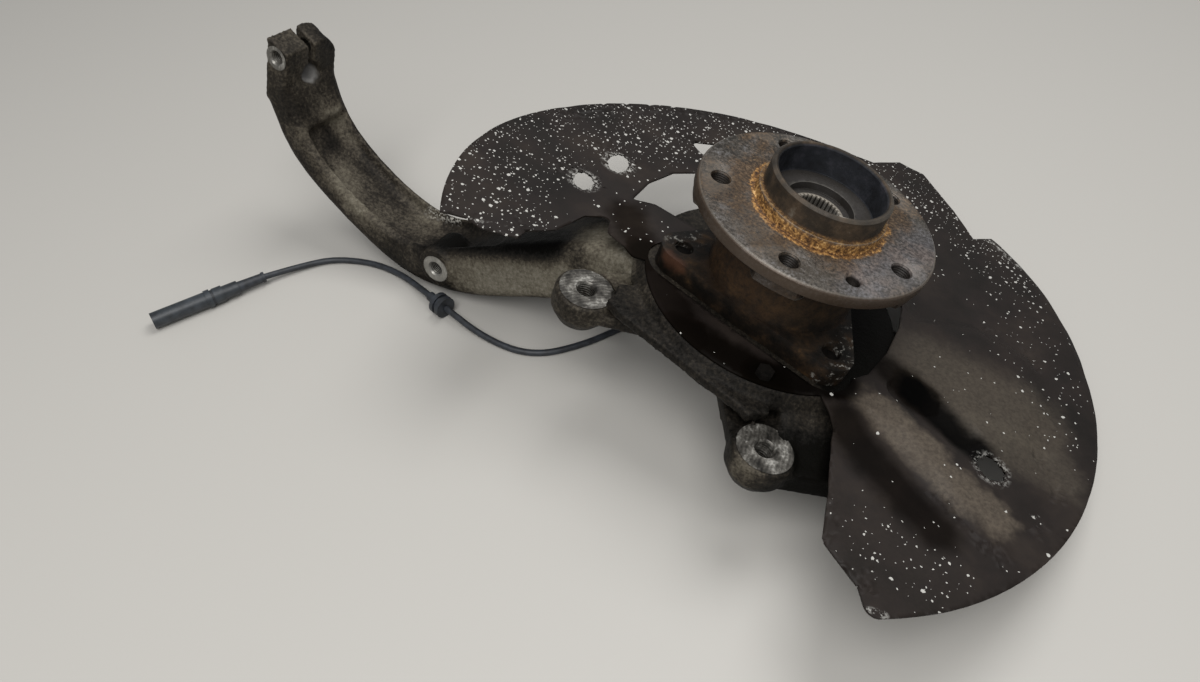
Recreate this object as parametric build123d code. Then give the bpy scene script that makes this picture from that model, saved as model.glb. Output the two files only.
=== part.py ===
from build123d import *
import math
import os

# A steering knuckle lies on its inboard side. Everything on it is drawn about the hub axis, with the
# outer face of the hub flange at height zero, and then leaned by the angle at which the part lies.
LIE_ANGLE = 15.2

# Wheel hub
FLANGE_R = 74.0
FLANGE_RIM = 8.0
FLANGE_PAD = 14.0
PAD_R = 17.0
BOLT_CIRCLE_R = 60.0
BOLT_COUNT = 5
BOLT_HOLE_R = 6.4
BOLT_ANGLE = 171.6
DISC_SCREW_HOLE_R = 4.2
HOLE_CHAMFER = 1.5
SPIGOT_R = 37.0
SPIGOT_HEIGHT = 21.0
SPIGOT_WALL = 4.0
DISC_SEAT_STEP = 2.5
DISC_SEAT_HEIGHT = 7.0
CUP_DEPTH = 25.0
CUP_STEP_R = 21.0
CUP_STEP_DEPTH = 5.0
NECK_LIP = 0.5
NECK_DROP = 2.0
SPLINE_TEETH = 36
SPLINE_R = 14.7
SPLINE_DEPTH = 1.5
SPLINE_CUT = 1.0
SPLINE_TAPER = 0.7
STEM_WALL = 8.8
COLLAR_LIP = 4.0
COLLAR_HEIGHT = 4.0

# Wheel bearing
BALL_R = 6.0
BALL_COUNT = 14
PITCH_R = 36.0
RACE_CLEAR = 0.25
RACE_SIDES = 20
LAND_RISE = 3.2
RING_GAP = 3.5
ROW_INSET = 12.5
ROW_GAP = 34.0
ROW_TO_END = 19.0
SHOULDER_DROP = 1.0
BARREL_WALL = 4.5
PILOT_WALL = 2.5
BARREL_LENGTH = 36.5
LUG_THICK = 14.0
LUG_CIRCLE_R = 63.0
LUG_R = 14.5
LUG_COUNT = 3
LUG_ANGLE = 172.0
CAGE_CLEAR = 0.8
CAGE_OVERHANG = 4.0
CAGE_WEB = 3.0
SEAL_STEP = 3.3
SEAL_THICK = 5.0
SEAL_INSET = 1.5
SEAL_CLEAR = 0.4
ENCODER_THICK = 1.6
BEARING_BOLT_R = 6.0
BEARING_BOLT_HEAD_R = 9.0
BEARING_BOLT_HEAD = 10.0
BOLT_SHORT = 4.0
THREAD_CLEAR = 0.1

# Knuckle casting
SEAT_R = 84.0
PLATE_R = 90.0
PLATE_THICK = 14.0
PLATE_CHAMFER = 3.0
BORE_WALL = 13.0
BORE_DEPTH = 48.0
CALIPER_LUG_R = 19.5
CALIPER_FACE_R = 18.0
CALIPER_LUG_DROP = 16.0
CALIPER_LUG_DEPTH = 14.0
CALIPER_NOSE_R = 13.0
CALIPER_NOSE = 10.0
CALIPER_HOLE_R = 6.25
CALIPER_LUG_1 = (-117.0, -13.0)
CALIPER_LUG_2 = (-13.0, -114.0)
SPOTFACE_DEPTH = 1.0
STRAP_DROP = 7.0
STRAP_CORNERS = [(-100.0, -36.0), (-30.0, -93.0)]
WEB_R = 40.0
WEB_INSET = 2.0
WEB_DROP = 3.0
ARM_ANGLE = 150.0
# Each station of the arm: distance from the hub axis, drop below the seat, width and depth
ARM_STATIONS = [
    (60.0, 21.0, 62.0, 40.0),
    (98.0, 37.0, 62.0, 44.0),
    (135.0, 59.0, 61.0, 45.0),
    (170.0, 84.0, 59.0, 43.0),
    (205.0, 109.0, 57.0, 40.0),
    (248.0, 126.0, 56.0, 31.0),
    (298.0, 119.0, 55.0, 25.0),
    (337.0, 103.0, 55.0, 24.0),
    (366.0, 80.0, 54.0, 26.0),
    (384.0, 51.0, 54.0, 28.0),
]
ARM_ROUND = 8.0
CHANNEL_RIM = 7.0
CHANNEL_DEPTH = 9.0
CLAMP_THICK = 18.5
CLAMP_WIDTH = 53.0
CLAMP_RISE = 41.0
CLAMP_ROOT = 8.0
CLAMP_REACH = 392.5
CLAMP_OVERHANG = 8.5
CLAMP_ROUND = 17.0
CLAMP_SLOPE = 6.0
CLAMP_BORE_R = 8.5
CLAMP_BORE_INSET = 29.0
CLAMP_SLOT = 5.0
PINCH_HOLE_R = 5.25
PINCH_INSET = 12.5
PINCH_SPOTFACE_R = 12.0
HOSE_BOSS_R = 15.5
HOSE_BOSS_HOLE_R = 5.5
HOSE_BOSS_FACE = 31.0
HOSE_BOSS_RADIUS = 223.0
HOSE_BOSS_DROP = 114.0
FOOT_BOSS_R = 19.0
FOOT_BORE_R = 8.0
FOOT_LENGTH = 34.0
FOOT_REACH = 126.0
FOOT_SPREAD = 60.0
FOOT_WALL_R = 12.0
FOOT_WEB_TOP = 20.0
FOOT_WEB_THICK = 16.0
RIB_THICK = 9.0
RIB_RISE = 8.0
RIB_ROOT = 4.0
RIB_LIFT = 3.0
STEER_WEB_R = 30.0
TIE_ROD_REACH = 20.0
TIE_ROD_SPREAD = 130.0
TIE_ROD_BOSS_R = 16.0
TIE_ROD_BORE_R = 7.0
TIE_ROD_LENGTH = 30.0
TIE_ROD_WEB_R = 12.0

# Dust shield
SHEET = 1.4
SHIELD_R = 218.0
SHIELD_INNER_STEP = 14.0
SHIELD_INNER_SLOPE = 14.0
SHIELD_DISH = 5.0
SHIELD_DISH_R = 152.0
SHIELD_DISH_END_R = 210.0
SHIELD_NECK_R = 84.0
SHIELD_GAP = 5.0
RUST_HOLE_RADIUS = 146.5
VENT_HOLE_RADIUS = 165.0
VENT_HOLE_R = 9.0
VENT_HOLE_ANGLE = -44.0
GROOVE_RADIUS = 121.0
GROOVE_ANGLE = -41.0
GROOVE_LENGTH = 42.0
GROOVE_WIDTH = 24.0
GROOVE_DEPTH = 4.5
PRESS_DRAFT = 35.0
# Outlines on the shield as distance from the hub axis and angle: plateau, rim arcs, bent tab, gap and window
PLATEAU = [(92, -66), (122, -58.5), (164, -60), (198, -61.5), (206, -48), (203, -38), (184, -32)]
PLATEAU += [(188, -18), (186, -4), (150, 4), (92, 2)]
RIM_LEFT = [(SHIELD_R - 6, 178), (SHIELD_R, 156), (SHIELD_R - 9, 132)]
RIM_FAR = [(SHIELD_R - 9, 132), (SHIELD_R - 16, 110), (SHIELD_R - 17, 88)]
RIM_FAR_RIGHT = [(SHIELD_R - 17, 88), (SHIELD_R - 14, 72), (SHIELD_R - 6, 58)]
RIM_TAB = [(SHIELD_R - 6, 58), (SHIELD_R + 17, 54), (SHIELD_R + 21, 49), (SHIELD_R + 4, 39)]
RIM_TAB += [(SHIELD_R - 9, 31), (SHIELD_R + 9, 30)]
RIM_RIGHT = [(SHIELD_R + 9, 30), (SHIELD_R + 10, 15), (SHIELD_R + 4, -6)]
RIM_NEAR = [(SHIELD_R + 4, -6), (SHIELD_R, -42), (SHIELD_R + 4, -96)]
FAR_GAP = [(50, 130), (114, 141), (121, 129), (126, 117), (128, 98), (50, 92)]
WINDOW = [(162, 105), (147, 103), (147, 82), (147, 64), (164, 64), (167, 85)]
# Cut for the caliper and gap beside the bearing, as places about the hub axis
CALIPER_CUT = [(0, 0), (-92, 6), (-107, 30), (-104, 47), (-122, 42), (-140, 22), (-159, 14), (-166, 2)]
CALIPER_CUT += [(-182, 4), (-196, 12), (-SHIELD_R - 42, 8), (-SHIELD_R - 42, -SHIELD_R - 42)]
CALIPER_CUT += [(20, -SHIELD_R - 42), (16, 15 - SHIELD_R), (3, 40 - SHIELD_R)]
CALIPER_CUT += [(14, 72 - SHIELD_R), (24, -104)]
BEARING_GAP = [(20, -50), (39, -66), (54, -58), (72, -36), (87, -10), (95, 12), (40, 20)]
PLATEAU_ROUND = 14.0
SHEET_ROUND = 4.0
NEAR_CORNER = (17, -SHIELD_R - 3)
CORNER_ROUND = 7.0
# Rust holes: angle, half length and half width
RUST_HOLES = [(147.0, 10.0, 7.0), (132.0, 12.0, 7.5)]
SCREW_CLEAR = 0.4
SCREW_R = 3.0
SCREW_HEAD_R = 5.5
SCREW_HEAD = 4.0
SCREW_LENGTH = 12.0
SHIELD_SCREW_R = 76.0
SHIELD_SCREW_ANGLES = (25.0, 75.0, 258.0)

# Wheel-speed sensor and its lead
SENSOR_ANGLE = 109.0
SENSOR_R = 6.0
SENSOR_AIR_GAP = 1.5
SENSOR_CLEAR = 0.2
SENSOR_PAD = 2.0
SENSOR_PAD_RIM = 2.0
SENSOR_SCREW_DROP = 15.0
SENSOR_HEAD_WIDTH = 18.0
SENSOR_HEAD_RIM = 3.0
SENSOR_HEAD_LIP = 1.0
SENSOR_HEAD_ROUND = 3.0
SENSOR_EAR = 5.0
SENSOR_TIP_INSET = 2.0
SENSOR_SLEEVE_R = 4.0
SENSOR_SLEEVE = 12.0
CABLE_R = 2.4
CABLE_DROP = 24.0
CABLE_BEND = 0.45
# Corners of the lead's way to the connector: two places on the table and a height above it
GROMMET_AT = (-246.0, 67.0, 9.8)
CABLE_POINTS = [
    (-75.0, 61.0, 8.0),
    (-104.0, 54.0, 2.4),
    (-141.0, 31.0, 2.4),
    (-177.0, 21.0, 2.4),
    (-212.0, 38.0, 3.6),
    GROMMET_AT,
    (-291.0, 116.5, 2.8),
    (-336.0, 128.0, 2.4),
    (-366.0, 115.0, 4.2),
    (-387.0, 100.5, 7.0),
]
GROMMET_R = 8.3
GROMMET_GROOVE_R = 6.8
GROMMET_DISC = 3.5
GROMMET_GROOVE = 2.5
GROMMET_NECK_R = 3.6
GROMMET_NECK = 9.0
BOOT_R = 4.2
BOOT_TAPER = 0.6
BOOT_LIP = 2.0
BOOT_LENGTH = 21.0
PLUG_REAR_R = 5.4
PLUG_REAR = 11.5
PLUG_COLLAR_R = 6.4
PLUG_COLLAR = 7.0
PLUG_SEAT_R = 5.0
PLUG_SEAL_R = 5.8
PLUG_SEAL = 2.0
LOCK_RING_R = 7.0
LOCK_RING = 4.0
PLUG_R = 6.2
PLUG_LENGTH = 40.0
MOUTH_R = 4.6
MOUTH_DEPTH = 18.0
CONTACT_R = 0.9
CONTACT_LENGTH = 12.0
CONTACT_GAP = 4.4


def polar(radius, angle):
    return (radius * math.cos(math.radians(angle)), radius * math.sin(math.radians(angle)))


def turned(points):
    return revolve(Plane.XZ * make_face(Polyline(*points, close=True)), Axis.Z)


def raceway(z):
    groove = Pos(PITCH_R, z) * RegularPolygon(race_r, RACE_SIDES, major_radius=False)
    return revolve(Plane.XZ * groove, Axis.Z)


def prism(sketch, bottom, top):
    return Pos(0, 0, bottom) * extrude(sketch, amount=top - bottom)


def disc(center, radius, bottom, top):
    return Pos(center[0], center[1], (bottom + top) / 2) * Cylinder(radius, top - bottom)


def hull(*circles):
    edges = [e for x, y, r in circles for e in (Pos(x, y) * Circle(r)).edges()]
    return make_hull(edges)


lean = Rotation(0, LIE_ANGLE, 0)


def save(name, shape):
    export_step(lean * shape, "parts/" + name + ".step")


def save_group(name, solids, place):
    export_step(Compound(children=[place * solid for solid in solids]), "parts/" + name + ".step")


def lay(name, shape):
    export_step(shape, "parts/" + name + ".step")


os.makedirs("parts", exist_ok=True)

# Heights down the hub axis
neck_z = -FLANGE_PAD - NECK_DROP
ring_top_z = neck_z - RING_GAP
row_out_z = ring_top_z - ROW_INSET
row_in_z = row_out_z - ROW_GAP
ring_end_z = row_in_z - ROW_TO_END
lug_top_z = ring_top_z - BARREL_LENGTH
seat_z = lug_top_z - LUG_THICK
race_r = BALL_R + RACE_CLEAR
hub_land_r = PITCH_R - LAND_RISE
ring_land_r = PITCH_R + LAND_RISE
shoulder_r = PITCH_R - SHOULDER_DROP
stem_r = hub_land_r - STEM_WALL
seal_bore_r = ring_land_r + SEAL_STEP
pilot_r = seal_bore_r + PILOT_WALL
barrel_r = seal_bore_r + BARREL_WALL
neck_r = seal_bore_r + NECK_LIP
split_z = (row_out_z + row_in_z) / 2

# Wheel hub
cup_floor_z = SPIGOT_HEIGHT - CUP_DEPTH
spline_top_z = cup_floor_z - CUP_STEP_DEPTH
cup_r = SPIGOT_R - SPIGOT_WALL
hub_end_z = ring_end_z + SEAL_INSET
collar_z = hub_end_z + COLLAR_HEIGHT
hub = turned(
    [
        (SPLINE_R, spline_top_z),
        (CUP_STEP_R, spline_top_z),
        (CUP_STEP_R, cup_floor_z),
        (cup_r, cup_floor_z),
        (cup_r, SPIGOT_HEIGHT - HOLE_CHAMFER),
        (cup_r + HOLE_CHAMFER, SPIGOT_HEIGHT),
        (SPIGOT_R - HOLE_CHAMFER, SPIGOT_HEIGHT),
        (SPIGOT_R, SPIGOT_HEIGHT - HOLE_CHAMFER),
        (SPIGOT_R, DISC_SEAT_HEIGHT),
        (SPIGOT_R + DISC_SEAT_STEP, DISC_SEAT_HEIGHT),
        (SPIGOT_R + DISC_SEAT_STEP, 0),
        (FLANGE_R - HOLE_CHAMFER, 0),
        (FLANGE_R, -HOLE_CHAMFER),
        (FLANGE_R, -FLANGE_RIM),
        (barrel_r + RING_GAP, -FLANGE_RIM),
        (neck_r, neck_z),
        (shoulder_r, neck_z),
        (shoulder_r, row_out_z),
        (hub_land_r, row_out_z),
        (hub_land_r, split_z),
        (stem_r, split_z),
        (stem_r, collar_z),
        (stem_r + COLLAR_LIP, collar_z),
        (stem_r + COLLAR_LIP, hub_end_z + HOLE_CHAMFER),
        (stem_r, hub_end_z),
        (SPLINE_R, hub_end_z),
    ]
)
hub -= raceway(row_out_z)
pads = Sketch() + [loc * Circle(PAD_R) for loc in PolarLocations(BOLT_CIRCLE_R, BOLT_COUNT, BOLT_ANGLE)]
pads = pads & Circle(FLANGE_R - HOLE_CHAMFER)
hub += prism(pads, -FLANGE_PAD, -FLANGE_RIM / 2)
for loc in PolarLocations(BOLT_CIRCLE_R, BOLT_COUNT, BOLT_ANGLE):
    hub -= loc * Cylinder(BOLT_HOLE_R, 4 * FLANGE_PAD)
screw_spot = polar(BOLT_CIRCLE_R, BOLT_ANGLE + 1.5 * 360 / BOLT_COUNT)
hub -= Pos(*screw_spot) * Cylinder(DISC_SCREW_HOLE_R, 4 * FLANGE_PAD)
hub -= Pos(*screw_spot, -HOLE_CHAMFER / 2) * Cone(
    DISC_SCREW_HOLE_R, DISC_SCREW_HOLE_R + HOLE_CHAMFER, HOLE_CHAMFER
)
tooth_half = math.pi * SPLINE_R / SPLINE_TEETH / 2
slot = make_face(
    Polyline(
        (SPLINE_R - SPLINE_CUT, -tooth_half),
        (SPLINE_R + SPLINE_DEPTH, -SPLINE_TAPER * tooth_half),
        (SPLINE_R + SPLINE_DEPTH, SPLINE_TAPER * tooth_half),
        (SPLINE_R - SPLINE_CUT, tooth_half),
        close=True,
    )
)
slots = Sketch() + [Rot(0, 0, 360 * i / SPLINE_TEETH) * slot for i in range(SPLINE_TEETH)]
hub -= prism(slots, hub_end_z - SPLINE_CUT, spline_top_z + SPLINE_CUT)
save("wheel_hub", hub)

# Inner ring, pressed on the stem between the shoulder and the formed collar
inner_ring = turned(
    [
        (stem_r, split_z),
        (hub_land_r, split_z),
        (hub_land_r, row_in_z),
        (shoulder_r, row_in_z),
        (shoulder_r, collar_z),
        (stem_r, collar_z),
    ]
)
inner_ring -= raceway(row_in_z)
save("bearing_inner_ring", inner_ring)

# Outer ring with its bolting lugs
outer_ring = turned(
    [
        (seal_bore_r, ring_top_z),
        (barrel_r - HOLE_CHAMFER, ring_top_z),
        (barrel_r, ring_top_z - HOLE_CHAMFER),
        (barrel_r, seat_z),
        (pilot_r, seat_z),
        (pilot_r, ring_end_z + HOLE_CHAMFER),
        (pilot_r - HOLE_CHAMFER, ring_end_z),
        (seal_bore_r, ring_end_z),
        (seal_bore_r, row_in_z - race_r),
        (ring_land_r, row_in_z),
        (ring_land_r, row_out_z),
        (seal_bore_r, row_out_z + race_r),
    ]
)
lug_spots = [polar(LUG_CIRCLE_R, LUG_ANGLE + 360 * i / LUG_COUNT) for i in range(LUG_COUNT)]
lug_outline = Sketch() + [hull((0, 0, barrel_r), (x, y, LUG_R)) for x, y in lug_spots]
lug_plate = prism(lug_outline, seat_z, lug_top_z)
outer_ring += lug_plate - Cylinder(barrel_r - 1, 4 * BORE_DEPTH + 8 * LUG_THICK)
outer_ring -= raceway(row_out_z)
outer_ring -= raceway(row_in_z)
for x, y in lug_spots:
    outer_ring -= disc((x, y), BEARING_BOLT_R + THREAD_CLEAR, seat_z - 1, lug_top_z + 1)
save("bearing_outer_ring", outer_ring)

# Ball rows and their cages
ball_spots = [polar(PITCH_R, 360 * i / BALL_COUNT) for i in range(BALL_COUNT)]
balls_out = [Pos(x, y, row_out_z) * Sphere(BALL_R) for x, y in ball_spots]
balls_in = [Pos(x, y, row_in_z) * Sphere(BALL_R) for x, y in ball_spots]
save_group("outboard_balls", balls_out, lean)
save_group("inboard_balls", balls_in, lean)
cage_in_r = hub_land_r + CAGE_CLEAR
cage_out_r = ring_land_r - CAGE_CLEAR
cage_low = BALL_R + CAGE_WEB
cage = turned(
    [
        (cage_in_r, -cage_low),
        (cage_out_r, -cage_low),
        (cage_out_r, CAGE_OVERHANG),
        (cage_in_r, CAGE_OVERHANG),
    ]
)
for i in range(BALL_COUNT):
    cage -= Rot(0, 0, 360 * i / BALL_COUNT) * Pos(PITCH_R, 0, 0) * Rot(0, 90, 0) * Cylinder(race_r, PITCH_R)
save("outboard_cage", Pos(0, 0, row_out_z) * cage)
save("inboard_cage", Pos(0, 0, row_in_z) * mirror(cage, Plane.XY))

# Seals in the outer ring and the encoder ring on the inner ring
seal_in_r = shoulder_r + SEAL_CLEAR
outboard_seal = turned(
    [
        (seal_in_r, ring_top_z - SEAL_INSET),
        (seal_bore_r, ring_top_z - SEAL_INSET),
        (seal_bore_r, ring_top_z - SEAL_INSET - SEAL_THICK),
        (seal_in_r, ring_top_z - SEAL_INSET - SEAL_THICK),
    ]
)
save("outboard_seal", outboard_seal)
encoder_z = ring_end_z + SEAL_INSET
inboard_seal_z = encoder_z + ENCODER_THICK + SEAL_CLEAR
inboard_seal = turned(
    [
        (seal_in_r, inboard_seal_z + SEAL_THICK),
        (seal_bore_r, inboard_seal_z + SEAL_THICK),
        (seal_bore_r, inboard_seal_z),
        (seal_in_r, inboard_seal_z),
    ]
)
save("inboard_seal", inboard_seal)
encoder = turned(
    [
        (stem_r + COLLAR_LIP, collar_z),
        (stem_r + COLLAR_LIP, encoder_z),
        (seal_bore_r - SEAL_CLEAR, encoder_z),
        (seal_bore_r - SEAL_CLEAR, encoder_z + ENCODER_THICK),
        (shoulder_r, encoder_z + ENCODER_THICK),
        (shoulder_r, collar_z),
    ]
)
save("encoder_ring", encoder)


# Gooseneck arm, lofted along its path out to the clamp, with a channel down its upper face
arm_root = ARM_STATIONS[0][0]
arm_stretch = (CLAMP_REACH - CLAMP_OVERHANG - arm_root) / (ARM_STATIONS[-1][0] - arm_root)


def along_arm(reach):
    return arm_root + (reach - arm_root) * arm_stretch


def arm_plane(index):
    low = ARM_STATIONS[max(index - 1, 0)]
    high = ARM_STATIONS[min(index + 1, len(ARM_STATIONS) - 1)]
    here = ARM_STATIONS[index]
    along = (along_arm(high[0]) - along_arm(low[0]), 0, low[1] - high[1])
    return Plane(origin=(along_arm(here[0]), 0, seat_z - here[1]), x_dir=(0, 1, 0), z_dir=along)


arm_sections = []
channel_sections = []
for i, (reach, drop, width, depth) in enumerate(ARM_STATIONS):
    arm_sections.append(arm_plane(i) * RectangleRounded(width, depth, ARM_ROUND))
    inner = RectangleRounded(width - 2 * CHANNEL_RIM, 2 * CHANNEL_DEPTH, CHANNEL_DEPTH * 0.8)
    channel_sections.append(arm_plane(i) * Pos(0, depth / 2) * inner)
arm = loft(arm_sections)
arm -= loft(channel_sections[3:-1])

# Split clamp for the upper ball joint, standing on the tip of the arm
arm_tip_z = seat_z - ARM_STATIONS[-1][1]
tip_z = arm_tip_z + CLAMP_RISE
clamp_front = CLAMP_REACH - CLAMP_THICK
clamp_mid = CLAMP_REACH - CLAMP_THICK / 2
clamp_side = Polyline(
    (clamp_front, arm_tip_z - CLAMP_ROOT),
    (CLAMP_REACH, arm_tip_z - CLAMP_ROOT),
    (CLAMP_REACH, tip_z),
    (clamp_front, tip_z - CLAMP_SLOPE),
    close=True,
)
clamp = extrude(Plane.XZ * make_face(clamp_side), amount=CLAMP_WIDTH / 2, both=True)
clamp = fillet(clamp.faces().sort_by(Axis.Z)[-1].edges().sort_by(Axis.Y)[0], CLAMP_ROUND)
clamp_bore_z = tip_z - CLAMP_BORE_INSET
pinch_z = tip_z - PINCH_INSET
arm += clamp
arm -= Pos(clamp_mid, 0, clamp_bore_z) * Rot(0, 90, 0) * Cylinder(CLAMP_BORE_R, 4 * CLAMP_THICK)
slot_length = 2 * CLAMP_BORE_INSET
arm -= Pos(clamp_mid, 0, clamp_bore_z + slot_length / 2) * Box(2 * CLAMP_THICK, CLAMP_SLOT, slot_length)
arm -= Pos(clamp_mid, 0, pinch_z) * Rot(90, 0, 0) * Cylinder(PINCH_HOLE_R, 2 * CLAMP_WIDTH)
spotface = Rot(90, 0, 0) * Cylinder(PINCH_SPOTFACE_R, CLAMP_WIDTH)
arm -= Pos(clamp_mid, CLAMP_WIDTH - SPOTFACE_DEPTH, pinch_z) * spotface

# Bracket boss on the near side of the bend
boss_x = along_arm(HOSE_BOSS_RADIUS)
boss_z = seat_z - HOSE_BOSS_DROP
boss = Rot(90, 0, 0) * Cylinder(HOSE_BOSS_R, HOSE_BOSS_FACE)
arm += Pos(boss_x, HOSE_BOSS_FACE / 2, boss_z) * boss
boss_hole = Rot(90, 0, 0) * Cylinder(HOSE_BOSS_HOLE_R, HOSE_BOSS_FACE)
arm -= Pos(boss_x, HOSE_BOSS_FACE * 0.75, boss_z) * boss_hole
arm = Rot(0, 0, ARM_ANGLE) * arm
floor_z = (lean * arm).bounding_box().min.Z


def arm_spot(up, across):
    reach = math.hypot(up, across)
    return polar(reach, ARM_ANGLE + math.degrees(math.atan2(across, up)))


def rest_z(x, radius, length):
    lie = math.radians(LIE_ANGLE)
    tilt = abs(math.sin(lie) * math.cos(math.radians(ARM_ANGLE)))
    rise = length / 2 * tilt + radius * math.sqrt(1 - tilt**2)
    return (floor_z + rise + x * math.sin(lie)) / math.cos(lie)


def king_cylinder(spot, z, radius, length):
    return Pos(*spot, z) * Rot(0, 0, ARM_ANGLE) * Rot(0, 90, 0) * Cylinder(radius, length)


# Bearing seat, plate and bore wall
plate_z = seat_z - PLATE_THICK
back_z = seat_z - BORE_DEPTH
wall_r = pilot_r + BORE_WALL
casting = turned(
    [
        (pilot_r, seat_z),
        (SEAT_R, seat_z),
        (PLATE_R, plate_z + PLATE_CHAMFER),
        (PLATE_R - PLATE_CHAMFER, plate_z),
        (wall_r, plate_z),
        (wall_r, back_z),
        (pilot_r, back_z),
    ]
)
for x, y in lug_spots:
    casting += disc((x, y), LUG_R, back_z, plate_z)

# Caliper lugs on their webs, with a straight strap between them
lug_face_z = seat_z - CALIPER_LUG_DROP
lug_back_z = lug_face_z - CALIPER_LUG_DEPTH
strap = make_face(Polyline((0, 0), CALIPER_LUG_1, *STRAP_CORNERS, CALIPER_LUG_2, close=True))
casting += prism(strap, plate_z, seat_z - STRAP_DROP)
for x, y in (CALIPER_LUG_1, CALIPER_LUG_2):
    web = hull((0, 0, WEB_R), (x, y, CALIPER_LUG_R - WEB_INSET))
    casting += prism(web, lug_back_z + WEB_INSET, lug_face_z - WEB_DROP)
    casting += disc((x, y), CALIPER_LUG_R, lug_back_z, lug_face_z - SPOTFACE_DEPTH)
    casting += disc((x, y), CALIPER_FACE_R, lug_face_z - SPOTFACE_DEPTH, lug_face_z)
    nose = Cone(CALIPER_NOSE_R, CALIPER_LUG_R, CALIPER_NOSE)
    casting += Pos(x, y, lug_back_z - CALIPER_NOSE / 2) * nose

# Foot with two lower ball-joint sockets, and the steering arm: all three bores are parallel to the clamp's
foot_1 = arm_spot(-FOOT_REACH, FOOT_SPREAD)
foot_2 = arm_spot(-FOOT_REACH, -FOOT_SPREAD)
tie_rod = arm_spot(TIE_ROD_REACH, -TIE_ROD_SPREAD)
foot_top = seat_z - FOOT_WEB_TOP
foot_web = hull((0, 0, WEB_R), (*foot_1, FOOT_WALL_R)) + hull((0, 0, WEB_R), (*foot_2, FOOT_WALL_R))
casting += prism(foot_web, foot_top - FOOT_WEB_THICK, foot_top)
near_wall = hull((*CALIPER_LUG_2, FOOT_WALL_R), (*foot_1, FOOT_WALL_R))
casting += prism(near_wall, foot_top - FOOT_WEB_THICK, foot_top)
steer_web = hull((0, 0, STEER_WEB_R), (*tie_rod, TIE_ROD_WEB_R))
casting += prism(steer_web, foot_top - FOOT_WEB_THICK, foot_top)
foot_1_z = rest_z(foot_1[0], FOOT_BOSS_R, FOOT_LENGTH)
foot_2_z = rest_z(foot_2[0], FOOT_BOSS_R, FOOT_LENGTH)
tie_rod_z = foot_top - FOOT_WEB_THICK / 2
rib_top = foot_top - FOOT_WEB_THICK / 2
for spot, low in ((foot_1, foot_1_z), (foot_2, foot_2_z), (tie_rod, tie_rod_z - TIE_ROD_BOSS_R / 2)):
    reach = math.hypot(*spot)
    rib_side = Polyline(
        (wall_r - RIB_ROOT, rib_top),
        (reach, rib_top),
        (reach, min(low, rib_top - RIB_RISE)),
        (wall_r - RIB_ROOT, back_z + RIB_LIFT),
        close=True,
    )
    rib = extrude(Plane.XZ * make_face(rib_side), amount=RIB_THICK / 2, both=True)
    casting += Rot(0, 0, math.degrees(math.atan2(spot[1], spot[0]))) * rib
casting += king_cylinder(foot_1, foot_1_z, FOOT_BOSS_R, FOOT_LENGTH)
casting += king_cylinder(foot_2, foot_2_z, FOOT_BOSS_R, FOOT_LENGTH)
casting += king_cylinder(tie_rod, tie_rod_z, TIE_ROD_BOSS_R, TIE_ROD_LENGTH)
casting += arm
casting -= disc((0, 0), pilot_r, back_z - BORE_DEPTH, seat_z + BORE_DEPTH)
for x, y in lug_spots:
    casting -= disc((x, y), BEARING_BOLT_R + 4 * THREAD_CLEAR, back_z - 1, seat_z + 1)
    casting -= disc((x, y), LUG_R, back_z - 4 * BORE_DEPTH, back_z)
for x, y in (CALIPER_LUG_1, CALIPER_LUG_2):
    casting -= disc((x, y), CALIPER_HOLE_R, lug_back_z - 2 * CALIPER_NOSE, seat_z)
casting -= king_cylinder(foot_1, foot_1_z, FOOT_BORE_R, FOOT_LENGTH)
casting -= king_cylinder(foot_2, foot_2_z, FOOT_BORE_R, FOOT_LENGTH)
casting -= king_cylinder(tie_rod, tie_rod_z, TIE_ROD_BORE_R, 2 * TIE_ROD_LENGTH)
sensor_z = ring_end_z - SENSOR_AIR_GAP - SENSOR_R
sensor_face = wall_r + SENSOR_PAD
sensor_screw_z = sensor_z - SENSOR_SCREW_DROP
sensor_turn = Rot(0, 0, SENSOR_ANGLE)
pad_height = plate_z - back_z
pad_depth = BORE_WALL / 2 + SENSOR_PAD
pad = Box(pad_depth, SENSOR_HEAD_WIDTH + 2 * SENSOR_PAD_RIM, pad_height)
casting += sensor_turn * Pos(sensor_face - pad_depth / 2, 0, back_z + pad_height / 2) * pad
across = Rot(0, 90, 0)
sensor_hole = across * Cylinder(SENSOR_R + SENSOR_CLEAR, 3 * BORE_WALL)
casting -= sensor_turn * Pos(sensor_face, 0, sensor_z) * sensor_hole
screw_hole = across * Cylinder(SCREW_R + THREAD_CLEAR, 2 * SCREW_LENGTH + 4)
casting -= sensor_turn * Pos(sensor_face, 0, sensor_screw_z) * screw_hole
screw_spots = [polar(SHIELD_SCREW_R, angle) for angle in SHIELD_SCREW_ANGLES]
for x, y in screw_spots:
    casting -= disc((x, y), SCREW_R + THREAD_CLEAR, seat_z - SCREW_LENGTH - 2, seat_z + 1)
save("knuckle_casting", casting)

# Bearing bolts, put in from the inboard side
bolt_end_z = lug_top_z - BOLT_SHORT
bolts = []
for x, y in lug_spots:
    bolt = disc((x, y), BEARING_BOLT_R, back_z - 1, bolt_end_z)
    head = prism(RegularPolygon(BEARING_BOLT_HEAD_R, 6), back_z - BEARING_BOLT_HEAD, back_z)
    bolts.append(bolt + Pos(x, y) * head)
save_group("bearing_bolts", bolts, lean)

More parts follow.
